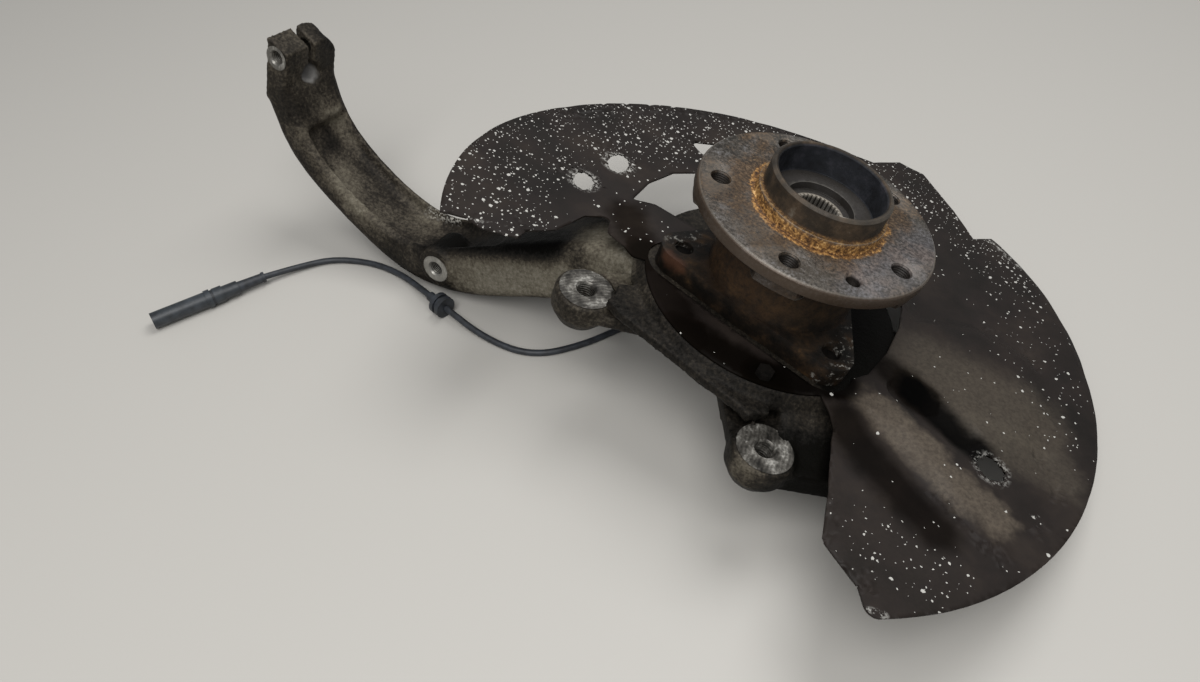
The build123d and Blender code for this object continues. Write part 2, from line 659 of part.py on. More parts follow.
# Dust shield: a pressed sheet, flat on the seat, dished round it, with a plateau and a groove in that
top_z = seat_z + SHEET
dish_z = top_z - SHIELD_DISH
inner_step_r = SEAT_R + SHIELD_INNER_STEP
dish = turned(
    [
        (inner_step_r, top_z + SHEET),
        (inner_step_r, top_z),
        (inner_step_r + SHIELD_INNER_SLOPE, dish_z),
        (SHIELD_DISH_R, dish_z),
        (SHIELD_DISH_END_R, top_z),
        (SHIELD_DISH_END_R, top_z + SHEET),
    ]
)
plateau = make_face(Polyline(*[polar(*point) for point in PLATEAU], close=True))
plateau = fillet(plateau.vertices(), PLATEAU_ROUND)
dish -= Pos(0, 0, dish_z - SHEET) * extrude(plateau, amount=SHIELD_DISH + 3 * SHEET, taper=PRESS_DRAFT)
blank = disc((0, 0), 2 * SHIELD_R, dish_z - SHIELD_R, top_z) - dish
groove_mouth = SlotCenterToCenter(GROOVE_LENGTH, GROOVE_WIDTH)
groove = extrude(groove_mouth, amount=-GROOVE_DEPTH - SHEET, taper=PRESS_DRAFT)
blank -= Rot(0, 0, GROOVE_ANGLE) * Pos(GROOVE_RADIUS, 0, top_z + SHEET) * groove
sheet = blank - Pos(0, 0, -SHEET) * blank
rim = [ThreePointArc(*[polar(*point) for point in arc]) for arc in (RIM_LEFT, RIM_FAR, RIM_FAR_RIGHT)]
rim += [Polyline(*[polar(*point) for point in RIM_TAB])]
rim += [ThreePointArc(*[polar(*point) for point in arc]) for arc in (RIM_RIGHT, RIM_NEAR)]
rim += [Polyline(polar(*RIM_NEAR[-1]), (0, 0), polar(*RIM_LEFT[0]))]
outline = make_face(Curve() + rim)
caliper_cut = make_face(Polyline(*CALIPER_CUT, close=True))
outline -= fillet(caliper_cut.vertices().sort_by_distance((0, 0))[1:], SHEET_ROUND)
outline += Circle(SHIELD_NECK_R)
opening = make_face(Polyline(*BEARING_GAP, close=True))
opening += make_face(Polyline(*[polar(*point) for point in FAR_GAP], close=True))
for x, y in lug_spots:
    opening += hull((0, 0, barrel_r + SHIELD_GAP), (x, y, LUG_R + SHIELD_GAP))
outline -= opening
window = make_face(Polyline(*[polar(*point) for point in WINDOW], close=True))
outline -= fillet(window.vertices(), SHEET_ROUND)
for angle, half_length, half_width in RUST_HOLES:
    rust_hole = Rot(0, 0, angle - 60) * Ellipse(half_length, half_width)
    outline -= Pos(*polar(RUST_HOLE_RADIUS, angle)) * rust_hole
outline -= Pos(*polar(VENT_HOLE_RADIUS, VENT_HOLE_ANGLE)) * Circle(VENT_HOLE_R)
for x, y in screw_spots:
    outline -= Pos(x, y) * Circle(SCREW_R + SCREW_CLEAR)
near_corner = outline.vertices().sort_by_distance(NEAR_CORNER)[0]
outline = fillet(near_corner, CORNER_ROUND)
shield = sheet & prism(outline, dish_z - SHIELD_R / 2, top_z + SHEET)
save("dust_shield", shield)

# Shield screws
screws = []
for x, y in screw_spots:
    screw = disc((x, y), SCREW_R, seat_z - SCREW_LENGTH, top_z)
    head = prism(RegularPolygon(SCREW_HEAD_R, 6), top_z, top_z + SCREW_HEAD)
    screws.append(screw + Pos(x, y) * head)
save_group("shield_screws", screws, lean)

# Wheel-speed sensor: tip under the encoder ring, head on the pad, lead pointing down
head_top = sensor_z + SENSOR_R + SENSOR_HEAD_LIP
head_height = 2 * (SENSOR_R + SENSOR_HEAD_LIP)
exit_r = sensor_face + SENSOR_EAR + SCREW_HEAD + SENSOR_SLEEVE_R + SCREW_CLEAR
head_length = exit_r + SENSOR_SLEEVE_R + SENSOR_HEAD_RIM - sensor_face
tip_r = shoulder_r - SENSOR_TIP_INSET
tip_length = sensor_face - tip_r
sensor = Pos(tip_r + tip_length / 2, 0, sensor_z) * across * Cylinder(SENSOR_R, tip_length)
head = Box(head_length, SENSOR_HEAD_WIDTH, head_height)
head = fillet(head.edges().filter_by(Axis.Z), SENSOR_HEAD_ROUND)
sensor += Pos(sensor_face + head_length / 2, 0, head_top - head_height / 2) * head
ear_height = head_top - back_z - SENSOR_PAD
ear = Box(SENSOR_EAR, SENSOR_HEAD_WIDTH, ear_height)
sensor += Pos(sensor_face + SENSOR_EAR / 2, 0, head_top - ear_height / 2) * ear
sensor -= Pos(sensor_face, 0, sensor_screw_z) * across * Cylinder(SCREW_R + SCREW_CLEAR, 4 * SENSOR_EAR)
save("wheel_speed_sensor", sensor_turn * sensor)
sensor_screw = Pos(sensor_face + SENSOR_EAR / 2 - SCREW_LENGTH / 2, 0, sensor_screw_z) * across
sensor_screw = sensor_screw * Cylinder(SCREW_R, SENSOR_EAR + SCREW_LENGTH)
screw_head = across * extrude(RegularPolygon(SCREW_HEAD_R, 6), amount=SCREW_HEAD)
sensor_screw += Pos(sensor_face + SENSOR_EAR, 0, sensor_screw_z) * screw_head
save("sensor_screw", sensor_turn * sensor_screw)

sleeve_top = head_top - head_height
sleeve = disc((exit_r, 0), SENSOR_SLEEVE_R, sleeve_top - SENSOR_SLEEVE, sleeve_top)
save("sensor_sleeve", sensor_turn * sleeve)

# Sensor lead: from the sleeve down to the floor, along it and into the connector
lead_start = lean * Pos(*polar(exit_r, SENSOR_ANGLE), sleeve_top - SENSOR_SLEEVE)
lead_drop = lead_start * Pos(0, 0, -CABLE_DROP)
route = [lead_start.position, lead_drop.position]
route += [Vector(x, y, floor_z + height) for x, y, height in CABLE_POINTS]
radii = []
for before, here, after in zip(route, route[1:], route[2:]):
    turn = math.radians((here - before).get_angle(after - here))
    radii.append(CABLE_BEND * min((here - before).length, (after - here).length) / math.tan(turn / 2))
cable_path = FilletPolyline(*route, radius=radii)
cable = sweep(Plane(cable_path ^ 0) * Circle(CABLE_R), path=cable_path)
lay("sensor_cable", cable)
print("lead length", round(cable_path.length))

# Grommet on the lead
bends = cable_path.edges().filter_by(GeomType.CIRCLE).sort_by(cable_path)
bend = bends[CABLE_POINTS.index(GROMMET_AT) + 1]
grommet_half = GROMMET_DISC + GROMMET_GROOVE / 2
grommet = turned(
    [
        (CABLE_R, -grommet_half),
        (GROMMET_R, -grommet_half),
        (GROMMET_R, -GROMMET_GROOVE / 2),
        (GROMMET_GROOVE_R, -GROMMET_GROOVE / 2),
        (GROMMET_GROOVE_R, GROMMET_GROOVE / 2),
        (GROMMET_R, GROMMET_GROOVE / 2),
        (GROMMET_R, grommet_half),
        (GROMMET_NECK_R, grommet_half),
        (GROMMET_NECK_R, grommet_half + GROMMET_NECK),
        (CABLE_R, grommet_half + GROMMET_NECK),
    ]
)
lay("cable_grommet", Plane(bend ^ 0.5).location * grommet)

# Connector at the end of the lead, drawn along its own axis
end = route[-1]
heading = end - route[-2]
plug_place = Plane(origin=end, z_dir=(heading.X, heading.Y, 0)).location
boot = turned(
    [
        (0, 0),
        (BOOT_R, 0),
        (BOOT_R, BOOT_LIP),
        (BOOT_R - BOOT_TAPER, BOOT_LIP),
        (BOOT_R, BOOT_LENGTH),
        (0, BOOT_LENGTH),
    ]
)
lay("connector_boot", plug_place * boot)
collar_s = BOOT_LENGTH + PLUG_REAR
seal_s = collar_s + PLUG_COLLAR
lock_s = seal_s + PLUG_SEAL
barrel_s = lock_s + LOCK_RING
mouth_s = barrel_s + PLUG_LENGTH
plug = turned(
    [
        (0, BOOT_LENGTH),
        (PLUG_REAR_R, BOOT_LENGTH),
        (PLUG_REAR_R, collar_s),
        (PLUG_COLLAR_R, collar_s),
        (PLUG_COLLAR_R, seal_s),
        (PLUG_SEAT_R, seal_s),
        (PLUG_SEAT_R, barrel_s),
        (PLUG_R, barrel_s),
        (PLUG_R, mouth_s),
        (MOUTH_R, mouth_s),
        (MOUTH_R, mouth_s - MOUTH_DEPTH),
        (0, mouth_s - MOUTH_DEPTH),
    ]
)
lay("connector_body", plug_place * plug)
plug_seal = disc((0, 0), PLUG_SEAL_R, seal_s, lock_s) - disc((0, 0), PLUG_SEAT_R, seal_s, lock_s)
lay("connector_seal", plug_place * plug_seal)
lock_ring = disc((0, 0), LOCK_RING_R, lock_s, barrel_s) - disc((0, 0), PLUG_SEAT_R, lock_s, barrel_s)
lay("connector_lock_ring", plug_place * lock_ring)
contact_s = mouth_s - MOUTH_DEPTH
contact_end_s = contact_s + CONTACT_LENGTH
contacts = [disc((side * CONTACT_GAP / 2, 0), CONTACT_R, contact_s, contact_end_s) for side in (-1, 1)]
save_group("connector_contacts", contacts, plug_place)

print("floor", floor_z)
for name, shape in (("casting", casting), ("shield", shield), ("hub", hub), ("ring", outer_ring)):
    print(name, round(shape.volume), shape.is_valid, len(shape.solids()))
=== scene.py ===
# %% [markdown]
# A steering knuckle that has seen a few winters lies on a pale table: a cast aluminium body with a long
# gooseneck arm, a rusty steel hub on its bearing, a stone-chipped dust shield and the sensor's lead.
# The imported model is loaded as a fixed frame. This lesson dresses it: it gives each surface its finish,
# rounds what was cast, dents what was pressed and lays the lead as one smooth curve.

# %% Load the frame
import bpy
import bmesh
import math
from mathutils import Euler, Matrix, Vector, kdtree, noise


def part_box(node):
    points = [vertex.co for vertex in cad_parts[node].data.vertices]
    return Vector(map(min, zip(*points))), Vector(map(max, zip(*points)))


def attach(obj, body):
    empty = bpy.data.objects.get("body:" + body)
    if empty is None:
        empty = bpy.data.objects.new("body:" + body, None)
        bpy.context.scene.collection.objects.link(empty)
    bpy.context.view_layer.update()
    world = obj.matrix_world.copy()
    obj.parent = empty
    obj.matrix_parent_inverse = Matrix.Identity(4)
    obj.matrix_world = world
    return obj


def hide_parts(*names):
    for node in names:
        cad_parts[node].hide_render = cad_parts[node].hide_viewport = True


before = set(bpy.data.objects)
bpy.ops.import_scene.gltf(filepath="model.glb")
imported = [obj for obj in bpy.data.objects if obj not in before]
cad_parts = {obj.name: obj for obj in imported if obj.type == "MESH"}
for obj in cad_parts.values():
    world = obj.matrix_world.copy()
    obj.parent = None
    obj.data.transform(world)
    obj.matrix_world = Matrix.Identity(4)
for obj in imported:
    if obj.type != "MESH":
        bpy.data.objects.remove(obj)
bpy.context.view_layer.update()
MM = 0.001
LEAN = math.radians(15.2)
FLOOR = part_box("knuckle_casting")[0][2]
print("nodes", len(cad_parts), "floor at", round(FLOOR / MM, 2), "mm")

# %% [markdown]
# Four small helpers are used all the way through. The hub's axis leans from the vertical, so many places
# are easiest to give in the hub's own frame, in millimetres, with the flange's outer face at height zero.
# Operators act on whatever is selected, and loading leaves the whole frame selected, so each step starts by
# choosing one piece.

# %% Helpers for places and selection
def from_hub(x, y, z):
    return Euler((0, LEAN, 0)).to_matrix() @ Vector((x, y, z)) * MM


def to_hub(point):
    return Euler((0, -LEAN, 0)).to_matrix() @ point / MM


def choose(piece):
    bpy.ops.object.select_all(action="DESELECT")
    piece.select_set(True)
    bpy.context.view_layer.objects.active = piece


def apply_modifiers(piece):
    choose(piece)
    for modifier in list(piece.modifiers):
        bpy.ops.object.modifier_apply(modifier=modifier.name)


print("hub axis", [round(v, 3) for v in from_hub(0, 0, 1000)])

# %% [markdown]
# Colours are written as the codes that a colour picker shows, and one function turns them into the linear
# values that shaders reckon with. Another adds a node with its settings, and fills its inputs with values or links.

# %% Helpers for colours and nodes
def linear(code):
    parts = [int(code[i:i + 2], 16) / 255 for i in (1, 3, 5)]
    return [c / 12.92 if c <= 0.04045 else ((c + 0.055) / 1.055) ** 2.4 for c in parts] + [1.0]


def add(tree, kind, inputs=None, stops=None, **settings):
    node = tree.nodes.new(kind)
    for name, value in settings.items():
        setattr(node, name, value)
    if stops:
        ramp = node.color_ramp
        while len(ramp.elements) < len(stops):
            ramp.elements.new(1.0)
        for element, (place, code) in zip(ramp.elements, stops):
            element.position = place
            element.color = linear(code)
    for name, value in (inputs or {}).items():
        if isinstance(value, bpy.types.NodeSocket):
            tree.links.new(value, node.inputs[name])
        else:
            node.inputs[name].default_value = value
    return node


def new_material(name):
    material = bpy.data.materials.new(name)
    material.use_nodes = True
    tree = material.node_tree
    return material, tree, tree.nodes["Principled BSDF"]


print("middle grey is", round(linear("#808080")[0], 3))

# %% [markdown]
# The stage comes first, because every finish is judged in its light. The table is a pale warm grey, the
# light is broad and soft, and the camera stands where a person would, looking down at 46 degrees.

# %% Table, light and camera
TABLE_HALF = 3.0
bpy.ops.object.select_all(action="DESELECT")
bpy.ops.mesh.primitive_plane_add(size=2 * TABLE_HALF, location=(0, 0, FLOOR))
table = bpy.context.object
table.name = "table"
bpy.ops.object.transform_apply()
painted_table, tree, shader = new_material("painted_table_top")
shader.inputs["Base Color"].default_value = linear("#B4B1AB")
shader.inputs["Roughness"].default_value = 0.55
table.data.materials.append(painted_table)

scene = bpy.context.scene
scene.view_settings.view_transform = "Standard"
world = bpy.data.worlds.new("soft_room")
scene.world = world
world.use_nodes = True
world.node_tree.nodes["Background"].inputs["Color"].default_value = linear("#E6E8EA")
world.node_tree.nodes["Background"].inputs["Strength"].default_value = 0.34

# where it hangs and what it faces, in metres, then its size in metres and its power in watts
LAMPS = {
    "window_panel": ((-0.3, -0.9, 1.35), (-0.15, -0.1, -0.1), 1.2, 25.0),
    "ceiling_panel": ((0.35, 0.55, 1.6), (0.05, 0.0, -0.1), 1.0, 17.0),
}
for name, (place, aim, size, power) in LAMPS.items():
    lamp = bpy.data.lights.new(name, "AREA")
    lamp.size = size
    lamp.energy = power
    holder = bpy.data.objects.new(name, lamp)
    holder.location = place
    holder.rotation_euler = (Vector(aim) - Vector(place)).to_track_quat("-Z", "Y").to_euler()
    scene.collection.objects.link(holder)

EYE_MM = (-127.1, -416.8, 325.3)
LOOK_DOWN = 46.385
camera = bpy.data.cameras.new("camera")
camera.sensor_width = 36.0
camera.lens = 27.0
camera.clip_start = 0.01
eye = bpy.data.objects.new("camera", camera)
eye.location = [v * MM for v in EYE_MM]
eye.rotation_euler = (math.radians(90 - LOOK_DOWN), 0, 0)
scene.collection.objects.link(eye)
scene.camera = eye
print("lamps", list(LAMPS), "camera looks down", LOOK_DOWN, "degrees")

# %% [markdown]
# The sensor's lead is a 4.8 mm rubber-jacketed cable. It leaves the sensor's sleeve under the casting,
# drops to the table and runs out to its connector. One smooth spline through the points where it was
# laid keeps a real cable's even bends, where a chain of arcs would look like bent wire.

# %% Lay the sensor lead
CABLE_R = 2.4
LEAD_MM = [
    (-52.3, 69.4, 51.1), (-58.6, 69.4, 27.9), (-75.0, 61.0, 8.0), (-104.0, 54.0, 2.4), (-141.0, 31.0, 2.4),
    (-177.0, 21.0, 2.4), (-212.0, 38.0, 3.6), (-246.0, 67.0, 9.8), (-291.0, 116.5, 2.8), (-336.0, 128.0, 2.4),
    (-366.0, 115.0, 4.2), (-387.0, 100.5, 7.0),
]
curve = bpy.data.curves.new("sensor_lead", "CURVE")
curve.dimensions = "3D"
curve.resolution_u = 10
curve.bevel_depth = 1.0
curve.bevel_resolution = 4
spline = curve.splines.new("NURBS")
spline.points.add(len(LEAD_MM) - 1)
for point, (x, y, height) in zip(spline.points, LEAD_MM):
    point.co = (x * MM, y * MM, FLOOR + height * MM, 1.0)
    point.radius = CABLE_R * MM
spline.order_u = 3
spline.use_endpoint_u = True
lead = bpy.data.objects.new("sensor_lead", curve)
scene.collection.objects.link(lead)
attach(lead, "knuckle")
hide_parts("sensor_cable")
ON_THE_LEAD = ["sensor_sleeve", "cable_grommet", "connector_boot", "connector_body", "connector_seal"]
ON_THE_LEAD += ["connector_lock_ring", "connector_contacts"]
print("lead points", len(LEAD_MM))

# %% [markdown]
# A casting has no sharp corners: sand and draft leave every edge rounded and every inside corner filled.
# The frame's body has crisp corners, so the skin is made from a copy of it. Two places are put right first:
# the cutter that faced the caliper lugs also took away the ribs that stood over them, and a sloping web
# closes the wall between the lower lug and the bearing seat.

# %% Spot faces and web of the casting
WELD_MM = 0.002
LUGS = {"upper_lug_face": (-117.0, -13.0), "lower_lug_face": (-13.0, -114.0)}
LUG_TOP = -86.0
CUTTER_R = 18.0
CUTTER_LONG = 40.0
WEB_LOW, WEB_HIGH = (-2, -116, -106), (46, -80, -89.5)
WEB_RISE = 12.0


def copy_node(node, name):
    piece = bpy.data.objects.new(name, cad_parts[node].data.copy())
    scene.collection.objects.link(piece)
    choose(piece)
    bpy.ops.object.mode_set(mode="EDIT")
    bpy.ops.mesh.select_all(action="SELECT")
    bpy.ops.mesh.remove_doubles(threshold=WELD_MM * MM)
    bpy.ops.object.mode_set(mode="OBJECT")
    return piece


casting = copy_node("knuckle_casting", "casting_skin")
for x, y in LUGS.values():
    bpy.ops.object.select_all(action="DESELECT")
    bpy.ops.mesh.primitive_cylinder_add(
        vertices=64, radius=CUTTER_R * MM, depth=CUTTER_LONG * MM, rotation=(0, LEAN, 0),
        location=from_hub(x, y, LUG_TOP + CUTTER_LONG / 2))
    cutter = bpy.context.object
    spot_face = casting.modifiers.new("spot_face", "BOOLEAN")
    spot_face.operation = "DIFFERENCE"
    spot_face.object = cutter
    apply_modifiers(casting)
    bpy.data.objects.remove(cutter)
bpy.ops.object.select_all(action="DESELECT")
bpy.ops.mesh.primitive_cube_add(
    size=MM, location=from_hub(*[(a + b) / 2 for a, b in zip(WEB_LOW, WEB_HIGH)]), rotation=(0, LEAN, 0))
web = bpy.context.object
web.scale = [b - a for a, b in zip(WEB_LOW, WEB_HIGH)]
bpy.ops.object.transform_apply()
bpy.ops.object.mode_set(mode="EDIT")
net = bmesh.from_edit_mesh(web.data)
for vertex in net.verts:
    vertex.select_set(to_hub(vertex.co).y > WEB_HIGH[1] - 1 and to_hub(vertex.co).z > WEB_HIGH[2] - 1)
net.select_flush_mode()
bpy.ops.transform.translate(value=from_hub(0, 0, WEB_RISE))
bpy.ops.object.mode_set(mode="OBJECT")
casting.select_set(True)
bpy.context.view_layer.objects.active = casting
bpy.ops.object.join()
print("casting with spot faces and web, faces", len(casting.data.polygons))

# %% [markdown]
# A voxel remesh rebuilds the copy as one even net. Two steps in the form are blended away by a strong
# smoothing that a vertex group holds to its place: where the arm's channel ends under the clamp, and where the
# web meets the lug. A weaker smoothing rounds every corner, and a cloud displacement gives the uneven skin of
# sand casting. Decimation then thins the net where the surface is flat.

# %% Cast skin of the knuckle
SKIN_VOXEL = 1.3
SKIN_TRIANGLES = 180000
SOFT_SPOTS = [(Vector((-308, 183, -147)), 32.0), (Vector((2, -96, -84)), 15.0)]
SOFT_ROUNDS, ROUNDS = 90, 9
SAND_GRAIN, SAND_DEPTH = 7, 0.5
remesh = casting.modifiers.new("net", "REMESH")
remesh.mode = "VOXEL"
remesh.voxel_size = SKIN_VOXEL * MM
apply_modifiers(casting)
softened = casting.vertex_groups.new(name="softened")
for vertex in casting.data.vertices:
    place = to_hub(vertex.co)
    share = max(1 - (place - spot).length / reach for spot, reach in SOFT_SPOTS)
    if share > 0:
        softened.add([vertex.index], min(1.0, 1.5 * share), "REPLACE")
soften = casting.modifiers.new("soften", "SMOOTH")
soften.factor = 0.5
soften.iterations = SOFT_ROUNDS
soften.vertex_group = "softened"
smooth = casting.modifiers.new("round", "SMOOTH")
smooth.factor = 0.5
smooth.iterations = ROUNDS
sand = bpy.data.textures.new("sand_skin", "CLOUDS")
sand.noise_scale = SAND_GRAIN * MM
sand.noise_depth = 4
uneven = casting.modifiers.new("uneven", "DISPLACE")
uneven.texture = sand
uneven.texture_coords = "LOCAL"
uneven.strength = SAND_DEPTH * MM
apply_modifiers(casting)
casting.vertex_groups.clear()
thin = casting.modifiers.new("thin", "DECIMATE")
thin.ratio = min(1.0, SKIN_TRIANGLES / (2 * len(casting.data.polygons)))
apply_modifiers(casting)
bpy.ops.object.shade_smooth()
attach(casting, "knuckle")
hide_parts("knuckle_casting")
print("casting faces", len(casting.data.polygons))

# %% [markdown]
# Some faces of the casting were machined after it left the sand: the two caliper lugs, the bracket boss and
# the seat of the pinch bolt. Each starts as a disc. Insets that step up and down by a few hundredths of a
# millimetre leave the cutter's rings, a deeper one makes the chamfer, and extrusions that widen and narrow by
# turns run down the hole as its thread. The wheel-bolt holes get the same thread.

# %% Machined faces and threads
ARM_TURN = math.radians(150.0)
RING_STEP = 0.07
THREAD_SHARE = 0.93
LUG_FACE = -85.7
BOSS = (223, 31.3, -184)
PINCH_SEAT = (383.25, 26.0, -92.5)
BOLT_CIRCLE_R, FIRST_BOLT = 60, 171.6


def from_arm(up, across, z):
    turned_out = Euler((0, 0, ARM_TURN)).to_matrix() @ Vector((up, across, z))
    return from_hub(*turned_out)


def machined_hole(name, base, top, face_r, hole_r, chamfer, rings, depth, pitch, body, slot):
    axis = (top - base).normalized()
    bpy.ops.object.select_all(action="DESELECT")
    bpy.ops.mesh.primitive_circle_add(
        vertices=56, radius=face_r * MM, fill_type="NGON", location=base,
        rotation=axis.to_track_quat("Z", "Y").to_euler())
    piece = bpy.context.object
    piece.name = name
    bpy.ops.object.transform_apply()
    bpy.ops.object.mode_set(mode="EDIT")
    bpy.ops.mesh.select_all(action="SELECT")
    step = (face_r - hole_r - chamfer) / max(rings, 1)
    for ring in range(rings):
        bpy.ops.mesh.inset(thickness=step * MM, depth=(RING_STEP if ring % 2 else -RING_STEP) * MM)
    bpy.ops.mesh.inset(thickness=chamfer * MM, depth=-chamfer * MM)
    for turn in range(int(2 * depth / pitch)):
        drop = -axis * pitch / 2 * MM
        bpy.ops.mesh.extrude_region_move(TRANSFORM_OT_translate={"value": drop})
        share = THREAD_SHARE if turn % 2 == 0 else 1 / THREAD_SHARE
        net = bmesh.from_edit_mesh(piece.data)
        middle = next(face for face in net.faces if face.select).calc_center_median()
        bpy.ops.transform.resize(value=(share, share, share), center_override=middle)
    bpy.ops.mesh.delete(type="FACE")
    bpy.ops.mesh.select_all(action="SELECT")
    bpy.ops.mesh.normals_make_consistent(inside=False)
    bpy.ops.object.mode_set(mode="OBJECT")
    bpy.ops.object.shade_smooth_by_angle(angle=math.radians(25))
    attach(piece, body)
    return piece


machined = []
threads = []
for name, (x, y) in LUGS.items():
    machined.append(machined_hole(
        name, from_hub(x, y, LUG_FACE), from_hub(x, y, 0), face_r=17.2, hole_r=6.2, chamfer=0.7, rings=14,
        depth=20, pitch=1.75, body="knuckle", slot="cast_aluminium"))
for name, (up, across, z), sizes in (
    ("bracket_boss_face", BOSS, {"face_r": 10.8, "hole_r": 5.45, "rings": 6, "depth": 18}),
    ("pinch_bolt_seat", PINCH_SEAT, {"face_r": 8.8, "hole_r": 5.2, "rings": 5, "depth": 16}),
):
    machined.append(machined_hole(
        name, from_arm(up, across, z), from_arm(up, 60, z), chamfer=0.7, pitch=1.5, body="knuckle",
        slot="cast_aluminium", **sizes))
for number in range(5):
    turn = math.radians(FIRST_BOLT + 72 * number)
    x, y = BOLT_CIRCLE_R * math.cos(turn), BOLT_CIRCLE_R * math.sin(turn)
    threads.append(machined_hole(
        "wheel_bolt_thread_" + str(number + 1), from_hub(x, y, -0.7), from_hub(x, y, 9), face_r=6.38, hole_r=6.28,
        chamfer=0.1, rings=0, depth=12.4, pitch=1.5, body="hub", slot="hub_steel"))
print("machined faces", len(machined), "threads", len(threads))

# %% [markdown]
# The shield is pressed from thin sheet, so its folds are round, and years of stones and rough hands have left
# it wavy. The frame's sheet has few, large faces, so a copy is cut finer first: every edge longer than a few
# millimetres is halved until the net can bend. Each face then takes the mean height of its surroundings, which
# rounds the folds and keeps the sheet's thickness. A slow noise adds the waves, and the rims of the two rusted
# holes and of the vent are made ragged.

# %% Soft folds, dents and ragged holes of the dust shield
LONGEST_EDGE = 4.5
RIM_EDGE = 1.5
FOLD_REACH = 9.0
DENT_DEPTH = 1.3
DENT_SIZE = 75.0
HALVINGS = 7
HELD_R, FREE_OVER = 92.0, 30.0
SMALL_DENT, SMALL_SIZE = 0.35, 22
RAGGED = ((1.3, 2.6), (0.8, 1.1))


def ring_spot(radius, angle):
    turn = math.radians(angle)
    return Vector((radius * math.cos(turn), radius * math.sin(turn)))


RAGGED_HOLES = [(ring_spot(146.5, 147), 12.5), (ring_spot(146.5, 132), 14.5), (ring_spot(165, -44), 11.5)]


def edge_limit(edge):
    middle = to_hub((edge.verts[0].co + edge.verts[1].co) / 2).xy
    near_hole = any((middle - centre).length < reach + 3 for centre, reach in RAGGED_HOLES)
    return RIM_EDGE if near_hole else LONGEST_EDGE


shield = copy_node("dust_shield", "shield_sheet")
bpy.ops.object.mode_set(mode="EDIT")
bpy.ops.mesh.select_mode(type="EDGE")
for step in range(HALVINGS):
    net = bmesh.from_edit_mesh(shield.data)
    for edge in net.edges:
        edge.select_set(edge.calc_length() / MM > edge_limit(edge))
    net.select_flush_mode()
    bmesh.update_edit_mesh(shield.data)
    bpy.ops.mesh.subdivide(number_cuts=1, ngon=False)
bpy.ops.mesh.select_all(action="SELECT")
bpy.ops.mesh.quads_convert_to_tris()
bpy.ops.mesh.beautify_fill(angle_limit=math.radians(4))
bpy.ops.object.mode_set(mode="OBJECT")

places = [to_hub(vertex.co) for vertex in shield.data.vertices]
faces_up = [to_hub(vertex.normal).z > 0 for vertex in shield.data.vertices]
heights = [place.z for place in places]
for side in (True, False):
    members = [i for i, up in enumerate(faces_up) if up == side]
    around = kdtree.KDTree(len(members))
    for i in members:
        around.insert((places[i].x, places[i].y, 0), i)
    around.balance()
    for i in members:
        found = around.find_range((places[i].x, places[i].y, 0), FOLD_REACH)
        shares = [(1 - (distance / FOLD_REACH) ** 2) ** 2 for spot, j, distance in found]
        heights[i] = sum(share * places[j].z for share, (spot, j, distance) in zip(shares, found)) / sum(shares)
for i, vertex in enumerate(shield.data.vertices):
    flat = Vector((places[i].x, places[i].y, 0))
    free = min(1.0, max(0.0, (flat.length - HELD_R) / FREE_OVER))
    dent = noise.noise(flat / DENT_SIZE) + SMALL_DENT * noise.noise(flat / SMALL_SIZE + Vector((5, 1, 0)))
    z = places[i].z + free * (heights[i] - places[i].z) + DENT_DEPTH * free * free * dent
    for centre, reach in RAGGED_HOLES:
        away = flat.xy - centre
        if away.length < reach + 1.5:
            ragged = sum(depth * noise.noise(flat / size) for depth, size in RAGGED)
            flat.xy += away.normalized() * ragged
    vertex.co = from_hub(flat.x, flat.y, z)
choose(shield)
bpy.ops.object.shade_smooth_by_angle(angle=math.radians(40))
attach(shield, "knuckle")
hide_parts("dust_shield")
print("shield faces", len(shield.data.polygons))

# %% [markdown]
# Turned steel keeps its form, but no edge on it is a knife edge. Copies of the hub and the bearing's outer
# ring get a small bevel, which catches the light as the real worn edges do. The hub's cup is too deep in the
# frame, so its floor is lifted first, until the ends of the splines show in the bore.

# %% Worn edges of the turned steel
# copy's name, body, slot and bevel in mm
TURNED = {
    "wheel_hub": ("hub_turned", "hub", "hub_steel", 0.6),
    "bearing_outer_ring": ("bearing_ring_forged", "knuckle", "bearing_steel", 1.4),
}
CUP_RISE = 6.5
CUP_LOW, CUP_HIGH, CUP_R = -10.5, -3.0, 33.2
turned = {}
for node, (name, body, slot, width) in TURNED.items():
    piece = copy_node(node, name)
    bpy.ops.object.mode_set(mode="EDIT")
    bpy.ops.mesh.select_all(action="SELECT")
    bpy.ops.mesh.tris_convert_to_quads(face_threshold=math.radians(0.5), shape_threshold=math.pi)
    if node == "wheel_hub":
        bpy.ops.mesh.select_mode(type="VERT")
        bpy.ops.mesh.select_all(action="DESELECT")
        net = bmesh.from_edit_mesh(piece.data)
        for vertex in net.verts:
            place = to_hub(vertex.co)
            vertex.select_set(CUP_LOW < place.z < CUP_HIGH and place.xy.length < CUP_R)
        net.select_flush_mode()
        bpy.ops.transform.translate(value=from_hub(0, 0, CUP_RISE))
    bpy.ops.object.mode_set(mode="OBJECT")
    worn = piece.modifiers.new("worn", "BEVEL")
    worn.width = width * MM
    worn.segments = 2
    worn.limit_method = "ANGLE"
    worn.angle_limit = math.radians(40)
    worn.use_clamp_overlap = True
    apply_modifiers(piece)
    bpy.ops.object.shade_smooth_by_angle(angle=math.radians(35))
    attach(piece, body)
    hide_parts(node)
    turned[node] = piece
    print(name, "faces", len(piece.data.polygons))

# %% [markdown]
# The finishes follow. Each is named for its material and starts from how that surface was made and what
# has happened to it since. Patterns are scaled from real sizes: a noise of scale 1000 / s on coordinates in
# metres has features about s millimetres wide. Wear sits at real places, so one helper makes a mask along a
# line on the part, with an uneven border, and another lays a tone through such a mask.

